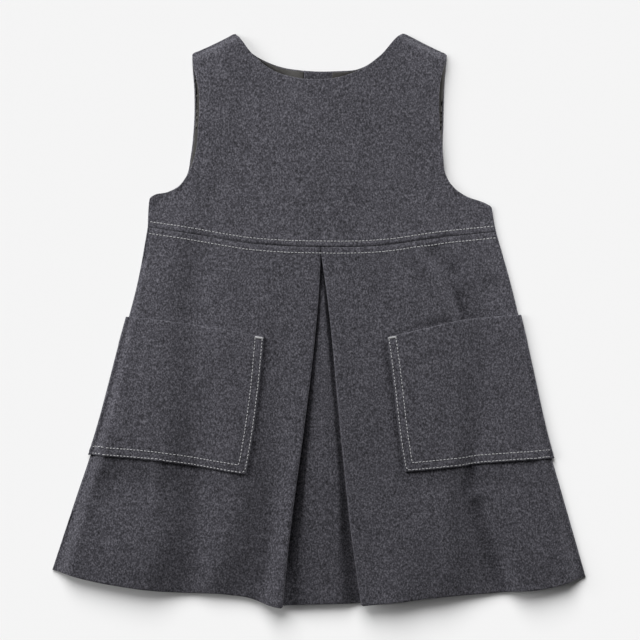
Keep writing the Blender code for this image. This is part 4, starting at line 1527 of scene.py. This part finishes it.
@dataclass(frozen=True)
class BackSkirt:
    """The flared back skirt, flat on the floor but for shallow folds that lift off it."""

    columns: int = 190
    rows: int = 150
    fades: Point = (0.1, 0.7)  # shares of the way down between which the folds grow
    headroom: float = 0.6  # share of the room under the front that a fold may take

    def height(self, x: Array, y: Array) -> Array:
        """Height of the middle: the highest of the folds at each point, kept below the front.

        Args:
            x: Millimetres to the right of the middle.
            y: Millimetres towards the neck.

        Returns:
            Heights in millimetres, shaped like x.
        """
        (_, top), (_, bottom) = WAIST.points[3], BACK_HEM.points[3]  # the middle of each
        down = (top - y) / (top - bottom)
        lift = np.maximum.reduce([fold.rise(x, down) for fold in BACK_FOLDS]) * ramp(down, *self.fades)
        return BACK_Z + np.minimum(lift, self.headroom * (FRONT.height(x, y) - SEAM_Z).clip(0.0))

    def middle(self) -> Array:
        """The Coons patch between hem, side seams and waist.

        Returns:
            (rows, columns, 3) points in millimetres, rows from hem to neck.
        """
        bottom = BACK_HEM.even(self.columns)
        top = WAIST.moved(0, -CLOSE / 2).even(self.columns)
        left, right = LEFT.skirt_side.even(self.rows), RIGHT.skirt_side.even(self.rows)
        left[-1], right[-1] = top[0], top[-1]
        grid = coons(bottom, top, left, right)
        return np.dstack([grid, self.height(grid[..., 0], grid[..., 1])])

    def build(self, finishes: Wardrobe) -> bpy.types.Object:
        """Args:
            finishes: Every finish.

        Returns:
            The piece.
        """
        middle = self.middle()
        pressed = WAIST_SEAM.back_share * WAIST_SEAM.grooves(middle[..., 0], middle[..., 1])
        piece = Wall().build("back_skirt_cloth", middle, finishes.flannel, under=pressed)
        lay(piece, Slot.WOOL, "back_skirt")
        return piece


# ---------------------------------------------------------------- sewing


@dataclass(frozen=True)
class Stitching:
    """Rows of single stitches, each a short twisted strand that dives into the cloth at both ends."""

    pitch: float = 2.73
    length: float = 1.95
    radius: float = 0.28
    rings: int = 8
    sides: int = 8
    plies: float = 0.13  # how far the two plies stand out, as a share of the radius
    turns: float = 1.4  # turns of the twist in one stitch
    end_taper: float = 0.45  # share of the radius at the ends
    probe: float = 0.2  # how far ahead a row's direction is looked for
    rise: float = 0.75  # of the middle over the cloth, and how far the ends dive below that, in radii
    dive: float = 1.9
    off_pitch: float = 0.09  # standard deviations of the unevenness, in millimetres and as a share
    off_length: float = 0.07
    off_line: float = 0.07

    def row(self, path: Array, seed: int) -> tuple[Array, Array]:
        """Start and end of each stitch along a path, with a small seeded unevenness.

        Args:
            path: (n, 2) points, closely spaced.
            seed: Seeds the unevenness.

        Returns:
            (stitches, 2) starts and ends.
        """
        along = np.concatenate([[0.0], np.cumsum(np.linalg.norm(np.diff(path, axis=0), axis=1))])
        count = int(along[-1] // self.pitch)
        spare = (along[-1] - count * self.pitch) / 2
        random = np.random.default_rng(seed)
        centre = spare + (np.arange(count) + 0.5) * self.pitch + random.normal(0, self.off_pitch, count)
        half = self.length / 2 * (1 + random.normal(0, self.off_length, count))
        sideways = random.normal(0, self.off_line, (2, count, 1))
        ends = []
        for at, off in ((centre - half, sideways[0]), (centre + half, sideways[1])):
            point = np.stack([np.interp(at, along, path[:, k]) for k in (0, 1)], axis=1)
            ahead = np.stack([np.interp(at + self.probe, along, path[:, k]) for k in (0, 1)], axis=1)
            tangent = unit(ahead - point + 1e-9)
            ends.append(point + off * np.stack([-tangent[:, 1], tangent[:, 0]], axis=1))
        return ends[0], ends[1]

    def strands(self, starts: Array, ends: Array, surface: Surface) -> tuple[Array, Array]:
        """Points and faces of many stitches at once.

        A stitch's centre runs straight from start to end and rises over the cloth by a quartic hump, its
        radius times rise − dive(2s − 1)⁴.  Its section is a circle that swells twice round, turned along s.

        Args:
            starts: (stitches, 2) points.
            ends: (stitches, 2) points.
            surface: Gives points and normals of the cloth's face at (x, y).

        Returns:
            The points and the quads.
        """
        s = np.linspace(0, 1, self.rings)
        flat = starts[:, None] * (1 - s)[None, :, None] + ends[:, None] * s[None, :, None]
        point, normal = surface(flat[..., 0], flat[..., 1])
        hump = self.radius * (self.rise - self.dive * (2 * s - 1) ** 4)
        centre = point + normal * hump[None, :, None]
        along = unit(np.gradient(centre, axis=1))
        across = unit(np.cross(along, normal))
        up = np.cross(across, along)
        theta = 2 * np.pi * np.arange(self.sides) / self.sides
        swell = 1 + self.plies * np.cos(2 * theta[None, :] - 2 * np.pi * self.turns * s[:, None])
        taper = np.where((s == 0) | (s == 1), self.end_taper, 1.0)[:, None]
        radius = (self.radius * swell * taper)[None, :, :, None]
        cos, sin = np.cos(theta)[None, None, :, None], np.sin(theta)[None, None, :, None]
        ring = centre[:, :, None] + radius * (cos * across[:, :, None] + sin * up[:, :, None])
        count = len(starts)
        index = np.arange(count * self.rings * self.sides).reshape(count, self.rings, self.sides)
        a, b = index[:, :-1], index[:, 1:]
        walls = np.stack([a, np.roll(a, -1, 2), np.roll(b, -1, 2), b], axis=-1).reshape(-1, 4)
        half = self.sides // 2
        caps = []
        for end, flip in ((index[:, 0], True), (index[:, -1], False)):
            for k in range(1, half):
                quad = np.stack([end[:, k - 1], end[:, k], end[:, -k - 1], end[:, -k]], axis=1)
                caps.append(quad[:, ::-1] if flip else quad)
        return ring.reshape(-1, 3), np.concatenate([walls, *caps])

    def piece(self, name: str, rows: Sequence[tuple[Array, Array]], surface: Surface,
              finish: bpy.types.Material) -> bpy.types.Object:
        """Join rows of stitches into one piece on the dress.

        Args:
            name: The piece's name.
            rows: Starts and ends of each row's stitches.
            surface: Gives points and normals of the cloth's face at (x, y).
            finish: The thread's material.

        Returns:
            The piece.
        """
        starts = np.concatenate([row[0] for row in rows])
        ends = np.concatenate([row[1] for row in rows])
        points, faces = self.strands(starts, ends, surface)
        return declare(new_object(name, points, [faces], finish), None)


FLOOR_ROOM = 0.5  # from the back's floor side up to the stitches in its grooves


def front_surface(x: Array, y: Array) -> tuple[Array, Array]:
    """Points and normals of the front's outer face near the waist seam."""
    point, normal, _ = FRONT.frame(x, y)
    return point + normal * (WOOL / 2 + WAIST_SEAM.relief(x, y))[..., None], normal


def facing_down(x: Array, y: Array, z: Array) -> tuple[Array, Array]:
    """Points at (x, y, z) with normals that point at the floor."""
    return np.stack([x, y, z], axis=-1), np.broadcast_to([0.0, 0.0, -1.0], (*x.shape, 3))


def floor_side(x: Array, y: Array) -> tuple[Array, Array]:
    """Points and normals for stitches on the back's floor side, so deep that they stay above the floor."""
    halves = np.where(x < BACK_LEFT.opening_half, BACK_LEFT.height(x, y), BACK_RIGHT.height(x, y))
    return facing_down(x, y, np.where(y > WAIST.y_at(x), halves, BACK_Z) - WOOL / 2 + FLOOR_ROOM)


@dataclass(frozen=True)
class Sewing:
    """All the topstitching and bar tacks."""

    topstitch: Stitching = Stitching()
    tack: Stitching = Stitching(length=1.8, radius=0.29, rings=6, sides=6)
    waist_steps: int = 600
    short: float = 0.9  # from a row's end to the side seam
    tack_stitches: int = 13
    tack_past: float = 0.02  # past the two rows, as a share of the way between them
    tack_low: float = 0.9  # from the pocket's mouth to the middle of the tack
    tack_lean: float = 0.12
    tack_zigzag: float = 0.1

    def waist(self, name: str, surface: Surface, seed: int, finishes: Wardrobe) -> None:
        """Both rows of the waist seam on the front or on the back, from side seam to side seam.

        Args:
            name: The piece's name.
            surface: Gives points and normals of the cloth's face.
            seed: Seeds the unevenness.
            finishes: Every finish.
        """
        rows = []
        for number, off in enumerate((WAIST_SEAM.row_above, -WAIST_SEAM.row_below)):
            path = WAIST.moved(0, off).even(self.waist_steps)
            left, right = (cut.edge().x_at(path[:, 1]) - cut.side * self.short for cut in (LEFT, RIGHT))
            path = path[(path[:, 0] > left) & (path[:, 0] < right)]
            rows.append(self.topstitch.row(path, seed + number))
        self.topstitch.piece(name, rows, surface, finishes.thread)

    def pocket(self, pocket: Pocket, finishes: Wardrobe) -> None:
        """Both rows of one pocket, and the bar tack across their tops.

        Args:
            pocket: The pocket that is sewn on.
            finishes: Every finish.
        """
        paths = pocket.stitch_paths()
        rows = [self.topstitch.row(path, SEED + 20 + 5 * pocket.cut.side + n) for n, path in enumerate(paths)]
        self.topstitch.piece(f"{pocket.name}_topstitching", rows, pocket.surface, finishes.thread)
        outer, inner = paths[0][0], paths[1][0]
        share = np.linspace(-self.tack_past, 1 + self.tack_past, self.tack_stitches)[:, None]
        centre = outer + (inner - outer) * share - np.array([0.0, self.tack_low])
        lean = np.array([self.tack_lean, self.tack.length / 2])
        sign = np.where(np.arange(self.tack_stitches) % 2, 1.0, -1.0)[:, None]
        zigzag = sign * np.array([self.tack_zigzag, 0.0])
        starts, ends = centre - lean + zigzag, centre + lean - zigzag
        self.tack.piece(f"{pocket.name}_bar_tack", [(starts, ends)], pocket.surface, finishes.thread)


# ---------------------------------------------------------------- buttons


@dataclass(frozen=True)
class Buttons:
    """The three back buttons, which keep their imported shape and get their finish, thread and holes."""

    heights: tuple[float, ...] = (183.0, 138.0, 95.0)  # y of each button
    face_z: float = 0.4  # height of the hollowed face that looks at the floor
    hole_spread: float = 1.5  # of a sewing hole from the button's centre, along X and along Y
    strand_past: float = 0.2  # past the hole's centre
    strand: Stitching = Stitching(radius=0.17, rings=10, sides=6)
    strands: int = 3  # side by side between two holes
    slit: Point = (-13.0, 1.0)  # x of the buttonhole's ends
    slit_half: float = 0.12  # from the middle of the slit to its stitches
    bar: tuple[float, ...] = (-0.6, -0.2, 0.2)  # x of a bar's stitches from the slit's end
    slit_pitch: float = 0.5
    slit_stitch: float = 1.3
    edging: Stitching = Stitching(radius=0.14, rings=5, sides=6)

    def button_face(self, x: Array, y: Array) -> tuple[Array, Array]:
        """Points and normals of the buttons' floor side."""
        return facing_down(x, y, np.full_like(x, self.face_z))

    def cloth_face(self, x: Array, y: Array) -> tuple[Array, Array]:
        """Points and normals of the left half's floor side."""
        return facing_down(x, y, BACK_LEFT.height(x, y) - WOOL / 2)

    def sewn_on(self, y: float) -> tuple[Array, Array]:
        """Starts and ends of the strands between one button's holes.

        Args:
            y: The button's y.

        Returns:
            Starts and ends, each (stitches, 2) points.
        """
        side, beside = np.meshgrid((-1.0, 1.0), np.arange(self.strands) - (self.strands - 1) / 2)
        along_y = y + (side * self.hole_spread + beside * 2 * self.strand.radius).reshape(-1)
        reach = np.full_like(along_y, self.hole_spread + self.strand_past)
        return np.stack([-reach, along_y], axis=1), np.stack([reach, along_y], axis=1)

    def buttonhole(self, y: float) -> tuple[Array, Array]:
        """Starts and ends of the stitches round one buttonhole: two rows across it and a bar at each end.

        Args:
            y: The button's y.

        Returns:
            Starts and ends, each (stitches, 2) points.
        """
        x = np.arange(*self.slit, self.slit_pitch)
        side, x = (grid.reshape(-1) for grid in np.meshgrid((-1.0, 1.0), x))
        starts = np.stack([x, y + side * self.slit_half], axis=1)
        ends = np.stack([x, y + side * (self.slit_half + self.slit_stitch)], axis=1)
        bar_x = np.array([end + step for end in self.slit for step in self.bar])
        reach = np.full_like(bar_x, self.slit_stitch)
        bars = np.stack([bar_x, y - reach], axis=1), np.stack([bar_x, y + reach], axis=1)
        return np.concatenate([starts, bars[0]]), np.concatenate([ends, bars[1]])

    def dress(self, finishes: Wardrobe) -> None:
        """Give each packed button the resin, sew it on and stitch its hole.

        Args:
            finishes: Every finish.
        """
        for number in range(1, len(self.heights) + 1):
            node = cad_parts[f"button_{number}"]
            node.data.materials.clear()
            node.data.materials.append(finishes.resin)
            LOG.info("button_%d dressed", number)
        sewn = [self.sewn_on(y) for y in self.heights]
        self.strand.piece("button_threads", sewn, self.button_face, finishes.dark_thread)
        holes = [self.buttonhole(y) for y in self.heights]
        self.edging.piece("buttonhole_stitches", holes, self.cloth_face, finishes.dark_thread)


# ---------------------------------------------------------------- studio


def new_light(name: str, kind: str, energy: float) -> bpy.types.Object:
    """Make a light of a kind and a strength, and link it.

    Args:
        name: The light's name.
        kind: Its Blender type.
        energy: Its strength.

    Returns:
        The light's object.
    """
    data = bpy.data.lights.new(name, kind)
    data.energy = energy
    light = bpy.data.objects.new(name, data)
    bpy.context.scene.collection.objects.link(light)
    return light


@dataclass(frozen=True)
class Sun:
    """A broad, distant light, its direction given by where it stands."""

    name: str
    left: float  # degrees to the left of the neck's side, seen from above
    elevation: float
    spread: float  # degrees across
    strength: float

    def build(self) -> bpy.types.Object:
        """Make the light, shining from its own side towards the middle of the dress.

        Returns:
            The light.
        """
        light = new_light(self.name, "SUN", self.strength)
        light.data.angle = math.radians(self.spread)
        tilt, turn = math.radians(90.0 - self.elevation), math.radians(180.0 + self.left)
        light.rotation_euler = (tilt, 0.0, turn)
        return light


@dataclass(frozen=True)
class Softbox:
    """A rectangular light close to the dress, facing a point on the floor."""

    name: str
    place: tuple[float, float, float]
    aim: tuple[float, float, float]
    width: float
    depth: float
    watts: float

    def build(self) -> bpy.types.Object:
        """Make the light, turned to its aim.

        Returns:
            The light.
        """
        light = new_light(self.name, "AREA", self.watts)
        light.data.shape = "RECTANGLE"
        light.data.size, light.data.size_y = self.width * MM, self.depth * MM
        light.location = Vector(self.place) * MM
        light.rotation_euler = (Vector(self.place) - Vector(self.aim)).to_track_quat("Z", "Y").to_euler()
        return light


@dataclass(frozen=True)
class Studio:
    """A pale floor, soft light from above the neck, an even fill and the camera straight above.

    The softboxes and the dress's suns light the dress alone, and the floor's suns light the floor alone, so
    that the floor stays even.
    """

    floor_half: float = 3000.0
    camera_x: float = 0.4
    camera_y: float = 0.4
    camera_z: float = 1800.0
    frame_width: float = 499.2  # at the height of the cloth
    cloth_z: float = 5.0
    sensor: float = 36.0
    softboxes: tuple[Softbox, ...] = (
        Softbox("dress_left", (-600.0, 400.0, 310.0), (0.0, 60.0, 0.0), 300.0, 300.0, 4.3),
        Softbox("dress_right", (560.0, 300.0, 190.0), (0.0, 60.0, 0.0), 300.0, 200.0, 2.5),
    )
    dress_suns: tuple[Sun, ...] = (
        Sun("dress_key", 8.0, 35.0, 28.0, 0.4),
        Sun("dress_side", 66.0, 25.0, 24.0, 1.05),
    )
    floor_suns: tuple[Sun, ...] = (
        Sun("floor_key", 14.0, 41.0, 46.0, 3.66),
        Sun("floor_side", 78.0, 34.0, 34.0, 1.2),
    )
    fill: float = 0.08

    def floor(self, finishes: Wardrobe) -> bpy.types.Object:
        """One square, as the stage.

        Args:
            finishes: Every finish.

        Returns:
            The floor.
        """
        h = self.floor_half
        points = np.array([(-h, -h, 0.0), (h, -h, 0.0), (h, h, 0.0), (-h, h, 0.0)])
        made = new_object("floor", points, [np.array([[0, 1, 2, 3]])], finishes.paper)
        return made

    def light(self, floor: bpy.types.Object) -> None:
        """The dress's lights for all but the floor, the floor's suns, and the even world.

        Args:
            floor: The floor, which the two sets of lights share out.
        """
        lights = [(light.build(), "EXCLUDE") for light in (*self.softboxes, *self.dress_suns)]
        lights += [(light.build(), "INCLUDE") for light in self.floor_suns]
        for light, state in lights:
            receivers = bpy.data.collections.new(f"{light.name}_receivers")
            receivers.objects.link(floor)
            receivers.collection_objects[0].light_linking.link_state = state
            light.light_linking.receiver_collection = receivers
        world = bpy.data.worlds.new("studio")
        world.use_nodes = True
        sky = world.node_tree.nodes["Background"]
        sky.inputs["Color"].default_value = (1.0, 1.0, 1.0, 1.0)
        sky.inputs["Strength"].default_value = self.fill
        bpy.context.scene.world = world

    def camera(self) -> None:
        """Straight above, with the neck towards the top of the picture."""
        data = bpy.data.cameras.new("camera")
        data.sensor_width = self.sensor
        data.lens = self.sensor * (self.camera_z - self.cloth_z) / self.frame_width
        camera = bpy.data.objects.new("camera", data)
        camera.location = (self.camera_x * MM, self.camera_y * MM, self.camera_z * MM)
        bpy.context.scene.collection.objects.link(camera)
        bpy.context.scene.camera = camera

    def build(self, finishes: Wardrobe) -> None:
        """Floor, lights, camera and the picture's tones.

        Args:
            finishes: Every finish.
        """
        self.light(self.floor(finishes))
        self.camera()
        view = bpy.context.scene.view_settings
        view.view_transform = "Standard"
        view.look = "None"


def main() -> None:
    """Build the studio and every piece of the dress, in the order that it is sewn."""
    logging.basicConfig(level=logging.INFO, format="%(name)s: %(message)s")
    finishes = Wardrobe.build()
    Studio().build(finishes)
    BackSkirt().build(finishes)
    BACK_LEFT.build(finishes)
    BACK_RIGHT.build(finishes)
    FrontSkirt().build(finishes)
    FrontBodice().build(finishes)
    sewing = Sewing()
    sewing.waist("waist_topstitching", front_surface, SEED + 10, finishes)
    sewing.waist("back_waist_topstitching", floor_side, SEED + 40, finishes)
    for cut in (LEFT, RIGHT):
        pocket = Pocket(cut)
        pocket.build(finishes)
        sewing.pocket(pocket, finishes)
    Buttons().dress(finishes)


if __name__ == "__main__":
    main()
